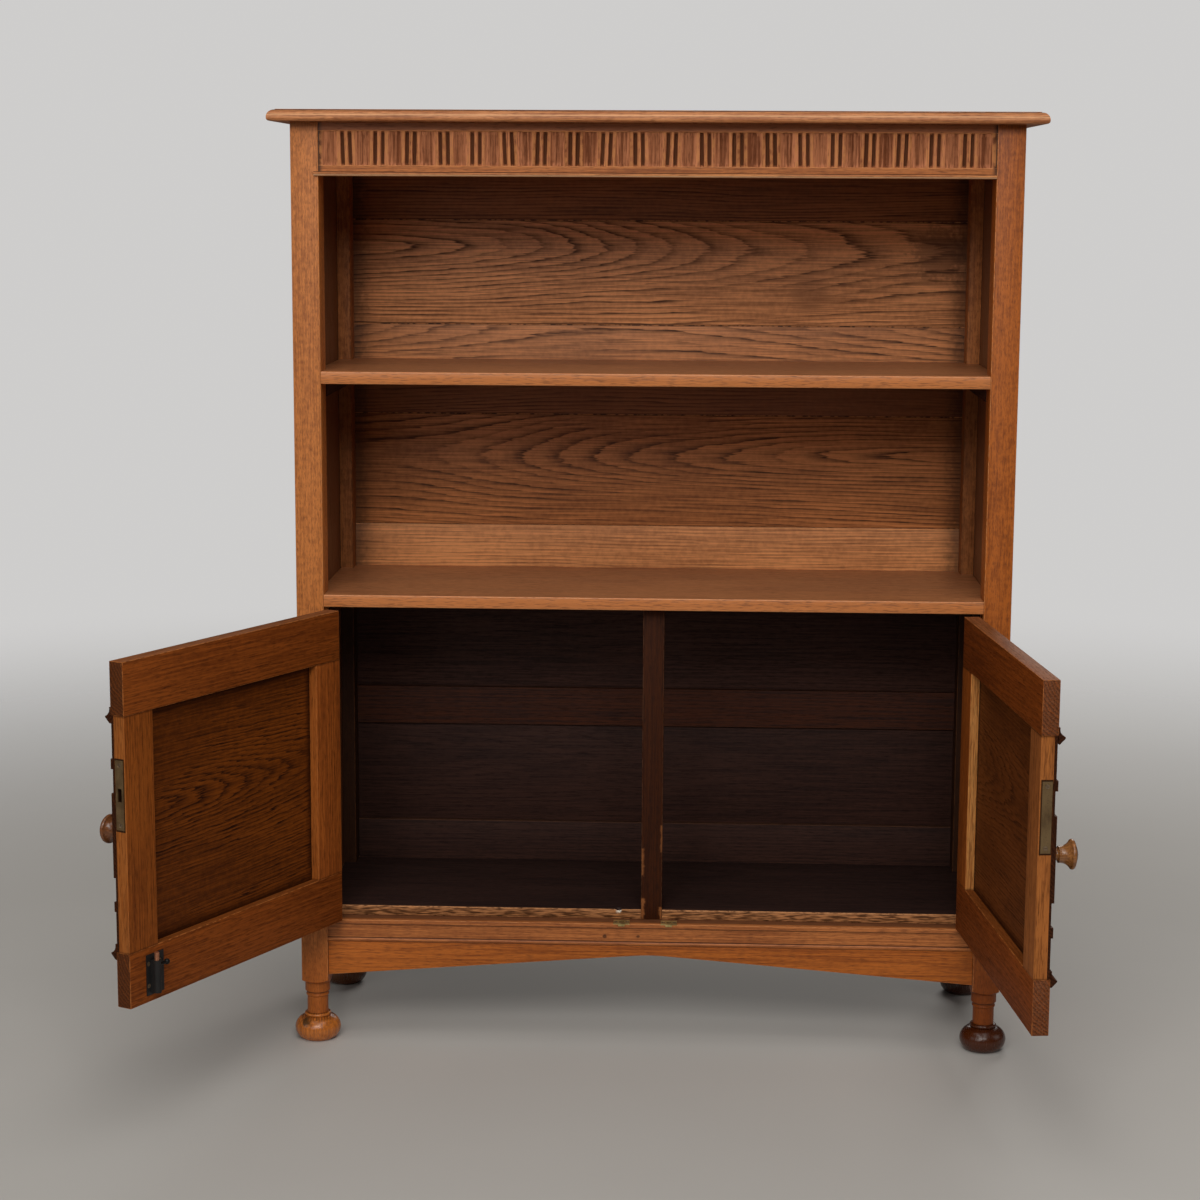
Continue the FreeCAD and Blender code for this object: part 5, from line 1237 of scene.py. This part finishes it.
class CarvingTree(GeometryTree):
    """Geometry Nodes that carve a row of hollow tiles, each pair parted by two flutes and a reed."""

    FLUTES = ((0.0, 0.0), (0.647, 0.0), (0.660, 0.55), (0.684, 1.0), (0.734, 1.0), (0.757, 0.55),
              (0.770, 0.0), (0.824, 0.0), (0.878, 0.0), (0.891, 0.55), (0.915, 1.0), (0.965, 1.0),
              (0.988, 0.55), (1.0, 0.0))
    HOLLOW = ((0.0, 0.10), (0.035, 0.0), (0.085, 0.02), (0.165, 0.55), (0.3236, 1.0), (0.480, 0.55),
              (0.560, 0.02), (0.612, 0.0), (0.647, 0.10), (0.665, 0.0), (1.0, 0.0))
    FLUTE_ENDS = ((0.0, 1.0), (0.95, 1.0), (1.0, 0.3))
    CELL_START = 0.68
    GOUGE_GRAIN = (420.0, 22.0, 1.0)
    RIPPLE_REACH = 1.3
    LEAST_RIPPLE = 0.35
    END_SLOPE = 900.0
    HOLLOW_ENDS = ((0.0, 1.0), (0.75, 1.0), (1.0, 0.5))

    def __init__(self) -> None:
        """Builds the node tree."""
        kinds = dict.fromkeys(("Length", "Height", "Pitch", "Flute Depth", "Hollow Depth", "Wobble", "Lean",
                               "Seed"), "Float")
        kinds |= {"Columns": "Int", "Rows": "Int", "Place": "Vector", "Finish": "Material"}
        super().__init__("carved_row", kinds, "Carving")
        self.wire()

    def curve(self, points: Sequence[tuple[float, float]],
              value: bpy.types.NodeSocket) -> bpy.types.NodeSocket:
        """Reads a profile.

        Args:
            points: The profile's own points.
            value: Where it is read, from 0 to 1.

        Returns:
            The profile's height there.
        """
        made = self.add("ShaderNodeFloatCurve")
        line = made.mapping.curves[0]
        line.points[0].location, line.points[1].location = points[0], points[-1]
        for point in points[1:-1]:
            line.points.new(*point)
        for point in line.points:
            point.handle_type = "VECTOR"
        made.mapping.update()
        self.tree.links.new(value, made.inputs["Value"])
        return made.outputs[0]

    def wire(self) -> None:
        """Adds the nodes and their links."""
        link, given = self.tree.links.new, self.given
        grid = self.add("GeometryNodeMeshGrid")
        for name, source in (("Size X", "Length"), ("Size Y", "Height"), ("Vertices X", "Columns"),
                             ("Vertices Y", "Rows")):
            link(given[source], grid.inputs[name])
        split = self.add("ShaderNodeSeparateXYZ")
        place = self.add("GeometryNodeInputPosition")
        link(place.outputs[0], split.inputs[0])
        across = self.math("MULTIPLY_ADD", given["Length"], 0.5, split.outputs["X"])
        count = self.math("FLOOR", self.math("ADD", self.math("DIVIDE", across, given["Pitch"]),
                                             self.CELL_START))
        chance = self.add("ShaderNodeTexWhiteNoise", noise_dimensions="2D")
        cell = self.add("ShaderNodeCombineXYZ")
        link(count, cell.inputs["X"])
        link(given["Seed"], cell.inputs["Y"])
        link(cell.outputs[0], chance.inputs["Vector"])
        hand = self.add("ShaderNodeSeparateXYZ")
        link(chance.outputs["Color"], hand.inputs[0])
        slip = self.math("MULTIPLY", self.math("SUBTRACT", hand.outputs["X"], 0.5), given["Wobble"])
        lean = self.math("MULTIPLY", self.math("SUBTRACT", hand.outputs["Y"], 0.5), given["Lean"])
        across = self.math("ADD", across, self.math("MULTIPLY_ADD", lean, split.outputs["Y"], slip))
        gouge = self.add("ShaderNodeTexNoise", noise_dimensions="4D")
        gouge.inputs["Scale"].default_value = 1.0
        gouge.inputs["Detail"].default_value = 1.0
        stretch = self.add("ShaderNodeVectorMath", operation="MULTIPLY")
        stretch.inputs[1].default_value = self.GOUGE_GRAIN
        link(place.outputs[0], stretch.inputs[0])
        link(stretch.outputs[0], gouge.inputs["Vector"])
        link(given["Seed"], gouge.inputs["W"])
        ripple = self.math("MULTIPLY_ADD", gouge.outputs[0], self.RIPPLE_REACH, self.LEAST_RIPPLE)
        unit = self.math("FRACT", self.math("DIVIDE", across, given["Pitch"]))
        half = self.math("MULTIPLY", given["Height"], 0.5)
        rise = self.math("DIVIDE", self.math("ABSOLUTE", split.outputs["Y"]), half)
        flute = self.math("MULTIPLY", self.curve(self.FLUTES, unit), self.curve(self.FLUTE_ENDS, rise))
        hollow = self.math("MULTIPLY", self.curve(self.HOLLOW, unit), self.curve(self.HOLLOW_ENDS, rise))
        hollow = self.math("MULTIPLY", hollow, ripple)
        depth = self.math("MULTIPLY_ADD", hollow, given["Hollow Depth"],
                          self.math("MULTIPLY", flute, given["Flute Depth"]))
        ends = self.math("SUBTRACT", self.math("MULTIPLY", given["Length"], 0.5),
                         self.math("ABSOLUTE", split.outputs["X"]))
        ends = self.math("MINIMUM", self.math("MULTIPLY", ends, self.END_SLOPE), 1.0)
        depth = self.math("MULTIPLY", depth, ends)
        sunk = self.add("ShaderNodeCombineXYZ")
        link(self.math("MULTIPLY", depth, -1.0), sunk.inputs["Z"])
        note = self.add("GeometryNodeStoreNamedAttribute", data_type="FLOAT", domain="POINT")
        note.inputs["Name"].default_value = "hollow"
        link(grid.outputs["Mesh"], note.inputs["Geometry"])
        link(self.math("DIVIDE", depth, given["Flute Depth"]), note.inputs["Value"])
        carve = self.add("GeometryNodeSetPosition")
        link(note.outputs["Geometry"], carve.inputs["Geometry"])
        link(sunk.outputs[0], carve.inputs["Offset"])
        stand = self.add("GeometryNodeTransform")
        stand.inputs["Rotation"].default_value = (math.pi / 2, 0.0, 0.0)
        link(carve.outputs["Geometry"], stand.inputs["Geometry"])
        link(given["Place"], stand.inputs["Translation"])
        self.close(stand.outputs["Geometry"])


@dataclass
class Frieze:
    """The frieze: a plain margin, a carved row and a plain band below it."""

    tiles: int = 21
    between: float = 13.6 * MILLIMETRE
    end_margin: float = 1.5 * MILLIMETRE
    tenon: float = 15.0 * MILLIMETRE
    top_margin: float = 11.0 * MILLIMETRE
    carving_height: float = 39.5 * MILLIMETRE
    flute_depth: float = 4.4 * MILLIMETRE
    hollow_depth: float = 2.0 * MILLIMETRE
    wobble: float = 1.4 * MILLIMETRE
    lean: float = 0.09
    sunk: float = 0.9 * MILLIMETRE
    easing: float = 0.8 * MILLIMETRE
    columns_per_tile: int = 56
    rows: int = 17
    seed: float = 4.0
    backing: float = 6.0 * MILLIMETRE

    def build(self) -> bpy.types.Object:
        """Makes the frieze.

        Returns:
            The piece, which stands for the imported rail.
        """
        low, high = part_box("frieze_rail")
        half = high.x - self.tenon
        field = (high.z - self.top_margin - self.carving_height, high.z - self.top_margin)
        shape = bmesh.new()
        self.carve(shape, half - self.end_margin, field, low.y + self.sunk)
        layer = shape.faces.layers.float.new("arris")
        for bottom, top, front in ((low.z, field[0], low.y), (field[1], high.z, low.y),
                                   (field[0], field[1], low.y + self.backing)):
            self.block(shape, half, (bottom, top), (front, high.y), layer)
        for side in (-1, 1):
            self.post_stop(shape, side, half, field, low.y, high.y)
        mesh = mesh_of(shape, "frieze_carved")
        points = corners_of(frame["nodes"]["frieze_rail"].data)
        plain = OakShading("frieze_band", CASE_OAK, Grain(X_WAY, Z_WAY, Cut.RIFT), points)
        carved = OakShading("frieze_carved", CARVED_OAK, Grain(Z_WAY, X_WAY, Cut.QUARTER), points)
        # Dark ends of the frieze beside the posts: dirt at the joints and painted shade.
        ends = (DirtAndShade(self.tenon, CLEAN, 7 * MILLIMETRE, 0.9, ragged=0.5),)
        shade = (Tint(Z_WAY, field[1] - 0.001, field[1] + 0.004, (0.265, 0.083, 0.0300), 0.8),)
        mesh.materials.append(plain.build(ends, shade))
        mesh.materials.append(carved.build((replace(ends[0], ends=CLEAN, edges=self.tenon),)))
        piece = bpy.data.objects.new("frieze_carved", mesh)
        bpy.context.scene.collection.objects.link(piece)
        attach(piece, "case")
        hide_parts("frieze_rail")
        return piece

    def carve(self, shape: bmesh.types.BMesh, half: float, field: tuple[float, float], front: float) -> None:
        """Adds the carved row as a closed slab.

        Args:
            shape: The frieze's mesh.
            half: Half the row's length.
            field: The row's bottom and top.
            front: Where its front lies.
        """
        tree = CarvingTree()
        given = {"Length": half * 2, "Height": field[1] - field[0],
                 "Pitch": (half * 2 + self.between) / self.tiles,
                 "Columns": self.tiles * self.columns_per_tile + 1, "Rows": self.rows,
                 "Flute Depth": self.flute_depth, "Hollow Depth": self.hollow_depth, "Wobble": self.wobble,
                 "Lean": self.lean, "Seed": self.seed, "Place": (0.0, front, sum(field) / 2)}
        plain = tree.run(bpy.data.meshes.new("carving_source"), given)
        shape.from_mesh(plain)
        bpy.data.meshes.remove(plain)
        rim = [edge for edge in shape.edges if edge.is_boundary]
        made = bmesh.ops.extrude_edge_only(shape, edges=rim)["geom"]
        for item in made:
            if isinstance(item, bmesh.types.BMVert):
                item.co.y = front + self.backing + MILLIMETRE
        outline = [item for item in made if isinstance(item, bmesh.types.BMEdge)]
        bmesh.ops.contextual_create(shape, geom=outline)
        bmesh.ops.recalc_face_normals(shape, faces=shape.faces)
        for face in shape.faces:
            face.smooth = len(face.verts) == 4
            face.material_index = 1
        for edge in shape.edges:
            edge.smooth = edge.calc_face_angle(0.0) < CARVED_ANGLE

    def block(self, shape: bmesh.types.BMesh, half: float, level: tuple[float, float],
              depth: tuple[float, float], layer: bmesh.types.BMLayerItem) -> None:
        """Adds one plain length of the board with eased front arrises.

        Args:
            shape: The frieze's mesh.
            half: Half the length.
            level: Its bottom and top.
            depth: Its front and back.
            layer: Where the number arris is kept.
        """
        corner = [(x, y, z) for x in (-half, half) for y in depth for z in level]
        made = bmesh.ops.create_cube(shape, size=1.0)["verts"]
        for vertex in made:
            vertex.co = corner[(vertex.co.x > 0) * 4 + (vertex.co.y > 0) * 2 + (vertex.co.z > 0)]
        edges = {edge for vertex in made for edge in vertex.link_edges}
        front = [edge for edge in edges if all(abs(v.co.y - depth[0]) < HAIR for v in edge.verts)
                 and abs(edge.verts[0].co.z - edge.verts[1].co.z) < HAIR]
        round_off(shape, front, self.easing, layer)

    def post_stop(self, shape: bmesh.types.BMesh, side: int, half: float, field: tuple[float, float],
                  front: float, back: float) -> None:
        """Adds the narrow plain stop between the carved row and a post.

        Args:
            shape: The frieze's mesh.
            side: -1 for the left end and 1 for the right.
            half: Half the board's length.
            field: The row's bottom and top.
            front: Where the board's front lies.
            back: Where its back lies.
        """
        inner, outer = sorted((side * (half - self.end_margin), side * half))
        for vertex in bmesh.ops.create_cube(shape, size=1.0)["verts"]:
            vertex.co = (outer if vertex.co.x > 0 else inner, back if vertex.co.y > 0 else front,
                         field[1] if vertex.co.z > 0 else field[0])


# Small fittings


class HeadTree(GeometryTree):
    """Geometry Nodes that set a head on every point, turned about its own axis by chance."""

    CHANCE_MOST = 3
    CHANCE_RESULT = 1

    def __init__(self) -> None:
        """Builds the node tree."""
        kinds = {"Points": "Geometry", "Head": "Object", "Radius": "Float", "Turn": "Float", "Seed": "Int",
                 "Finish": "Material"}
        super().__init__("heads_on_points", kinds, "Heads")
        given = self.given
        points = self.add("GeometryNodeMeshToPoints")
        head = self.add("GeometryNodeObjectInfo")
        way = self.add("GeometryNodeInputNamedAttribute", data_type="FLOAT_VECTOR")
        way.inputs["Name"].default_value = "way"
        align = self.add("FunctionNodeAlignRotationToVector", axis="Z")
        chance = self.add("FunctionNodeRandomValue", data_type="FLOAT")
        spin = self.add("FunctionNodeAxisAngleToRotation")
        spin.inputs["Axis"].default_value = Z_WAY
        both = self.add("FunctionNodeRotateRotation", rotation_space="LOCAL")
        place = self.add("GeometryNodeInstanceOnPoints")
        for socket, value in ((points.inputs["Mesh"], given["Points"]),
                              (head.inputs["Object"], given["Head"]),
                              (align.inputs["Vector"], way.outputs["Attribute"]),
                              (chance.inputs[self.CHANCE_MOST], given["Turn"]),
                              (chance.inputs["Seed"], given["Seed"]),
                              (spin.inputs["Angle"], chance.outputs[self.CHANCE_RESULT]),
                              (both.inputs["Rotation"], align.outputs["Rotation"]),
                              (both.inputs["Rotate By"], spin.outputs["Rotation"]),
                              (place.inputs["Points"], points.outputs["Points"]),
                              (place.inputs["Instance"], head.outputs["Geometry"]),
                              (place.inputs["Rotation"], both.outputs["Rotation"]),
                              (place.inputs["Scale"], given["Radius"])):
            self.feed(socket, value)
        self.close(place.outputs["Instances"])

    def make(self, name: str, places: Sequence[tuple[Vector, Vector]], head: bpy.types.Object,
             radius: float, turn: float, seed: int, finish: bpy.types.Material) -> bpy.types.Object:
        """Sets a head on each place and returns them as one plain mesh.

        Args:
            name: The new piece's name.
            places: Each head's middle and the way that it faces.
            head: The head's own shape, one unit in radius.
            radius: The head's radius in metres.
            turn: The most that a head is turned, in radians.
            seed: What the turns are drawn from.
            finish: The heads' material.

        Returns:
            The new piece.
        """
        mesh = bpy.data.meshes.new(name + "_points")
        mesh.from_pydata([tuple(place) for place, _ in places], [], [])
        way = mesh.attributes.new("way", "FLOAT_VECTOR", "POINT")
        for item, (_, facing) in zip(way.data, places):
            item.vector = facing
        values = {"Head": head, "Radius": radius, "Turn": turn, "Seed": seed, "Finish": finish}
        plain = self.run(mesh, values)
        plain.name = name
        if "way" in plain.attributes:
            plain.attributes.remove(plain.attributes["way"])
        piece = bpy.data.objects.new(name, plain)
        bpy.context.scene.collection.objects.link(piece)
        return piece


@dataclass(frozen=True)
class SlottedScrew:
    """A countersunk screw with a slot, one unit in radius at its head, looking up."""

    steps: int = 7
    slot_half: float = 0.15
    slot_depth: float = 0.36
    head_height: float = 0.5
    shank: float = 0.48
    length: float = 3.4

    def build(self) -> bpy.types.Object:
        """Makes the screw's shape.

        Returns:
            The shape as an object outside the scene.
        """
        reach = math.acos(self.slot_half)
        angles = [-reach + 2 * reach * step / self.steps for step in range(self.steps + 1)]
        angles += [angle + math.pi for angle in angles]
        shape = bmesh.new()
        rim = [shape.verts.new((math.cos(a), math.sin(a), 0.0)) for a in angles]
        neck = [shape.verts.new((math.cos(a) * self.shank, math.sin(a) * self.shank,
                                 -self.head_height)) for a in angles]
        foot = [shape.verts.new((v.co.x, v.co.y, -self.length)) for v in neck]
        half = self.steps + 1
        right, left = rim[:half], rim[half:]
        corner = (right[0], right[-1], left[0], left[-1])
        low = [shape.verts.new((v.co.x, v.co.y, -self.slot_depth)) for v in corner]
        shape.faces.new(right)
        shape.faces.new(left)
        shape.faces.new(low)
        shape.faces.new((right[0], right[-1], low[1], low[0]))
        shape.faces.new((left[0], left[-1], low[3], low[2]))
        total = len(rim)
        for number in range(total):
            after = (number + 1) % total
            shape.faces.new((neck[number], neck[after], foot[after], foot[number]))
            if number not in (half - 1, total - 1):
                shape.faces.new((rim[number], rim[after], neck[after], neck[number]))
        shape.faces.new((right[-1], low[1], low[2], left[0], neck[half], neck[half - 1]))
        shape.faces.new((left[-1], low[3], low[0], right[0], neck[0], neck[total - 1]))
        shape.faces.new(foot)
        bmesh.ops.recalc_face_normals(shape, faces=shape.faces)
        return bpy.data.objects.new("slotted_screw", mesh_of(shape, "slotted_screw"))


@dataclass(frozen=True)
class RoundNail:
    """A nail with a low domed head, one unit in radius, looking up."""

    sides: int = 12
    rings: tuple[tuple[float, float], ...] = ((0.92, 0.0), (1.0, 0.1), (0.72, 0.3), (0.34, 0.4))
    shank: float = 0.36
    length: float = 4.0

    def build(self) -> bpy.types.Object:
        """Makes the nail's shape.

        Returns:
            The shape as an object outside the scene.
        """
        shape = bmesh.new()
        levels = [(self.shank, -self.length), (self.shank, 0.0), *self.rings]
        around = [2 * math.pi * step / self.sides for step in range(self.sides)]
        loops = [[shape.verts.new((math.cos(a) * radius, math.sin(a) * radius, level)) for a in around]
                 for radius, level in levels]
        for lower, upper in zip(loops, loops[1:]):
            for step in range(self.sides):
                after = (step + 1) % self.sides
                shape.faces.new((lower[step], lower[after], upper[after], upper[step]))
        shape.faces.new(loops[0])
        shape.faces.new(loops[-1])
        bmesh.ops.recalc_face_normals(shape, faces=shape.faces)
        return bpy.data.objects.new("round_nail", mesh_of(shape, "round_nail"))


@dataclass
class Ironmongery:
    """Screws, nails and the metal finishes of the fittings."""

    SLOT_FINISHES = {"aged_brass": AGED_BRASS, "black_iron": BLACK_IRON, "coppered_steel": COPPER_ROD}
    OWN_FINISHES = {"strike_plates": STRIKE_BRASS}
    RIM = 0.01 * MILLIMETRE

    screw_radius: float = 2.55 * MILLIMETRE
    nail_radius: float = 2.2 * MILLIMETRE
    nail_from_end: float = 14.0 * MILLIMETRE
    nail_from_edge: float = 5.8 * MILLIMETRE
    screw_seed: int = 3
    nail_seed: int = 11
    nailed: tuple[str, ...] = ("back_top_board", "back_upper_board", "back_middle_board",
                               "back_lower_board", "back_shelf_rail", "cupboard_back_upper_board",
                               "cupboard_back_rail", "cupboard_back_lower_board", "cupboard_back_base_rail")

    def dress_fittings(self, slots: dict[str, str]) -> None:
        """Gives every metal node its finish.

        Args:
            slots: The material slot of each node.
        """
        made: dict[str, bpy.types.Material] = {}
        for node, slot in slots.items():
            finish = self.OWN_FINISHES.get(node, self.SLOT_FINISHES.get(slot))
            if finish is None:
                continue
            if finish.name not in made:
                made[finish.name] = finish.build()
            data = frame["nodes"][node].data
            data.materials.clear()
            data.materials.append(made[finish.name])

    def screw_places(self, node: str) -> list[tuple[Vector, Vector]]:
        """Finds the head of every screw in a node.

        Args:
            node: The node that holds the screws.

        Returns:
            The middle of each head's face and the way that it looks.
        """
        shape = bmesh.new()
        shape.from_mesh(frame["nodes"][node].data)
        bmesh.ops.remove_doubles(shape, verts=shape.verts, dist=WELD)
        places = []
        unseen = set(shape.verts)
        while unseen:
            start = unseen.pop()
            island, queue = [start], [start]
            while queue:
                for edge in queue.pop().link_edges:
                    for vertex in edge.verts:
                        if vertex in unseen:
                            unseen.remove(vertex)
                            island.append(vertex)
                            queue.append(vertex)
            places.append(self.head_of(np.array([vertex.co for vertex in island])))
        shape.free()
        return sorted(places, key=lambda item: tuple(round(number, 4) for number in item[0]))

    def head_of(self, points: np.ndarray) -> tuple[Vector, Vector]:
        """Finds where one screw's head is.

        Args:
            points: The screw's corners.

        Returns:
            The middle of the head's face and the way that it looks.
        """
        centre = points.mean(axis=0)
        _, _, ways = np.linalg.svd(points - centre)
        way = max(ways, key=lambda axis: np.ptp(points @ axis))
        reach = points @ way
        ends = (reach < reach.min() + self.RIM, reach > reach.max() - self.RIM)
        wide = [np.linalg.norm(points[end] - points[end].mean(axis=0), axis=1).max() for end in ends]
        top = 0 if wide[0] > wide[1] else 1
        outward = -way if top == 0 else way
        rim = points[ends[top]]
        middle = (rim.min(axis=0) + rim.max(axis=0)) / 2
        return Vector(middle), Vector(outward)

    def nail_places(self) -> list[tuple[Vector, Vector]]:
        """Finds where the back boards are nailed to the rear posts.

        Returns:
            Each nail's place and the way that its head looks.
        """
        places = []
        for node in self.nailed:
            low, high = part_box(node)
            tall = high.z - low.z
            for side in (-1, 1):
                across = side * (high.x - self.nail_from_edge)
                for share in (self.nail_from_end / tall, 1 - self.nail_from_end / tall):
                    places.append((Vector((across, high.y, low.z + tall * share)), Vector(Y_WAY)))
        return places

    def build(self, slots: dict[str, str], bodies: dict[str, str]) -> list[bpy.types.Object]:
        """Makes the screws of each body and the nails of the back.

        Args:
            slots: The material slot of each node.
            bodies: The body of each node.

        Returns:
            The new pieces.
        """
        self.dress_fittings(slots)
        tree = HeadTree()
        screw, nail = SlottedScrew().build(), RoundNail().build()
        steel, iron = SCREW_STEEL.build(), NAIL_IRON.build()
        pieces = []
        screwed = ("case_screws", "left_door_screws", "right_door_screws")
        for seed, node in enumerate(screwed, start=self.screw_seed):
            piece = tree.make(node + "_slotted", self.screw_places(node), screw, self.screw_radius, math.pi,
                              seed, steel)
            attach(piece, bodies[node])
            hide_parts(node)
            pieces.append(piece)
        nails = tree.make("back_nails", self.nail_places(), nail, self.nail_radius, math.pi,
                          self.nail_seed, iron)
        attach(nails, bodies["back_top_board"])
        return pieces + [nails]


# Studio


@dataclass(frozen=True)
class Softbox:
    """One soft rectangular light."""

    name: str
    place: Triple
    aim: Triple
    width: float
    height: float
    watts: float
    colour: Colour = (1.0, 0.97, 0.93)

    def build(self) -> bpy.types.Object:
        """Makes the light.

        Returns:
            The lamp in its place.
        """
        data = bpy.data.lights.new(self.name, "AREA")
        data.shape = "RECTANGLE"
        data.size, data.size_y = self.width, self.height
        data.energy = self.watts
        data.color = self.colour
        lamp = bpy.data.objects.new(self.name, data)
        lamp.location = self.place
        lamp.rotation_euler = (Vector(self.aim) - Vector(self.place)).to_track_quat("-Z", "Y").to_euler()
        bpy.context.scene.collection.objects.link(lamp)
        return lamp


@dataclass
class Studio:
    """Pale floor, soft light and the camera."""

    camera_place: Triple = (0.05404, -3.12759, 1.04955)
    camera_turn: float = 2.24
    camera_tilt: float = 9.21
    camera_roll: float = 0.30
    lens: float = 75.17
    sensor: float = 36.0
    floor_half: float = 5.0
    fade_start: float = 0.9
    fade_end: float = 3.4
    floor_colour: Colour = (0.58, 0.563, 0.535)
    floor_cloud: float = 3.0
    floor_shade: float = 0.94
    floor_roughness: float = 0.75
    floor_bump: float = 0.05
    backdrop: Colour = (0.62, 0.612, 0.605)
    ambient: Colour = (0.93, 0.96, 1.0)
    ambient_strength: float = 0.03
    lamps: tuple[Softbox, ...] = (
        Softbox("front", (0.0, -3.8, 2.8), (0.0, 0.0, 0.7), 2.4, 1.4, 66.0),
        Softbox("front_left", (-1.5, -3.5, 1.7), (0.0, 0.0, 0.7), 1.6, 1.4, 13.0),
        Softbox("overhead", (0.0, -0.8, 3.2), (0.0, -0.3, 0.0), 2.4, 1.8, 17.0),
        Softbox("overhead_front", (0.0, -2.2, 3.2), (0.0, -0.2, 0.5), 2.4, 1.4, 20.0),
        Softbox("left_side", (-3.2, -1.6, 1.6), (0.0, 0.0, 0.6), 1.6, 1.6, 6.0),
        Softbox("right_side", (3.2, -0.6, 1.6), (0.0, 0.0, 0.6), 1.6, 1.6, 6.0),
        Softbox("behind", (0.6, 3.2, 2.2), (0.0, 0.0, 0.6), 2.2, 1.6, 38.0),
    )

    def build(self) -> None:
        """Makes the floor, the surroundings, the lights and the camera."""
        self.lay_floor()
        self.surround()
        for lamp in self.lamps:
            lamp.build()
        self.stand_camera()
        bpy.context.scene.view_settings.view_transform = "Standard"

    def lay_floor(self) -> None:
        """Lays the plain pale floor, which fades into the backdrop far from the piece."""
        reach = self.floor_half
        mesh = bpy.data.meshes.new("floor")
        mesh.from_pydata([(-reach, -reach, 0), (reach, -reach, 0), (reach, reach, 0), (-reach, reach, 0)],
                         [], [(0, 1, 2, 3)])
        shading = Shading("floor_pale")
        cloud = shading.noise(shading.place, self.floor_cloud, 3.0)
        darker = tuple(channel * self.floor_shade for channel in self.floor_colour)
        colour = shading.mix(cloud, self.floor_colour, darker)
        away = shading.measure("LENGTH", shading.place)
        shading.feed(shading.shader.inputs["Alpha"], shading.ease(away, self.fade_end, self.fade_start))
        mesh.materials.append(shading.finish(colour, self.floor_roughness, cloud, self.floor_bump,
                                             MILLIMETRE))
        floor = bpy.data.objects.new("floor", mesh)
        bpy.context.scene.collection.objects.link(floor)

    def surround(self) -> None:
        """Sets the soft surroundings and the pale backdrop behind them."""
        world = bpy.data.worlds.new("surroundings")
        world.use_nodes = True
        tree = world.node_tree
        tree.nodes.clear()
        output = tree.nodes.new("ShaderNodeOutputWorld")
        seen, soft = tree.nodes.new("ShaderNodeBackground"), tree.nodes.new("ShaderNodeBackground")
        seen.inputs["Color"].default_value = (*self.backdrop, 1.0)
        soft.inputs["Color"].default_value = (*self.ambient, 1.0)
        soft.inputs["Strength"].default_value = self.ambient_strength
        path, both = tree.nodes.new("ShaderNodeLightPath"), tree.nodes.new("ShaderNodeMixShader")
        tree.links.new(path.outputs["Is Camera Ray"], both.inputs[0])
        tree.links.new(soft.outputs[0], both.inputs[1])
        tree.links.new(seen.outputs[0], both.inputs[2])
        tree.links.new(both.outputs[0], output.inputs[0])
        bpy.context.scene.world = world

    def stand_camera(self) -> None:
        """Stands the camera where the photograph was taken from."""
        angles = (self.camera_turn, self.camera_tilt, self.camera_roll)
        turn, tilt, roll = (math.radians(angle) for angle in angles)
        ahead = Vector((-math.sin(turn) * math.cos(tilt), math.cos(turn) * math.cos(tilt), -math.sin(tilt)))
        level = Vector((math.cos(turn), math.sin(turn), 0.0))
        raised = level.cross(ahead)
        right = math.cos(roll) * level + math.sin(roll) * raised
        up = math.cos(roll) * raised - math.sin(roll) * level
        data = bpy.data.cameras.new("camera")
        data.sensor_width = self.sensor
        data.lens = self.lens
        camera = bpy.data.objects.new("camera", data)
        matrix = Matrix((right, up, -ahead)).transposed().to_4x4()
        matrix.translation = Vector(self.camera_place)
        camera.matrix_world = matrix
        bpy.context.scene.collection.objects.link(camera)
        bpy.context.scene.camera = camera


def main() -> None:
    """Builds every sub-assembly in order and notes each piece."""
    logging.basicConfig(level=logging.INFO, format="%(name)s: %(message)s")
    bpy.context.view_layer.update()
    record = frame["record"]
    slots = {item["node"]: item["material_slot"] for item in record["subparts"]}
    bodies = {node: body for body, nodes in record["behaviour"]["bodies"].items() for node in nodes}
    # Each door's inner-edge colour paints the hinge stile's far edge: worn finish with painted light, palest on
    # the right door, whose edge faces the lamps.
    doors = (Door("left", X_WAY, "keeper_plate", LEFT_HINGE_OAK, LEFT_MEETING_OAK,
                  DOOR_OAK, PANEL_OAK, LEFT_KNOB_OAK, (0.42, 0.130, 0.025), (0.12, 0.052, 0.024)),
             Door("right", (-1.0, 0.0, 0.0), "lock_case", STILE_OAK, RIGHT_MEETING_OAK,
                  RIGHT_RAIL_OAK, RIGHT_PANEL_OAK, RIGHT_KNOB_OAK, (0.95, 0.460, 0.140),
                  (0.30, 0.145, 0.080)))
    timbers = Carcase().timbers()
    for door in doors:
        timbers += door.timbers()
    for timber in timbers:
        piece = timber.dress(slots, bodies)
        log.info("timber %s, %d faces", piece.name, len(piece.data.polygons))
    piece = Frieze().build()
    log.info("frieze %s, %d faces", piece.name, len(piece.data.polygons))
    for piece in Ironmongery().build(slots, bodies):
        log.info("fitting %s, %d faces", piece.name, len(piece.data.polygons))
    Studio().build()
    log.info("%d timbers dressed", len(timbers))


if __name__ == "__main__":
    main()
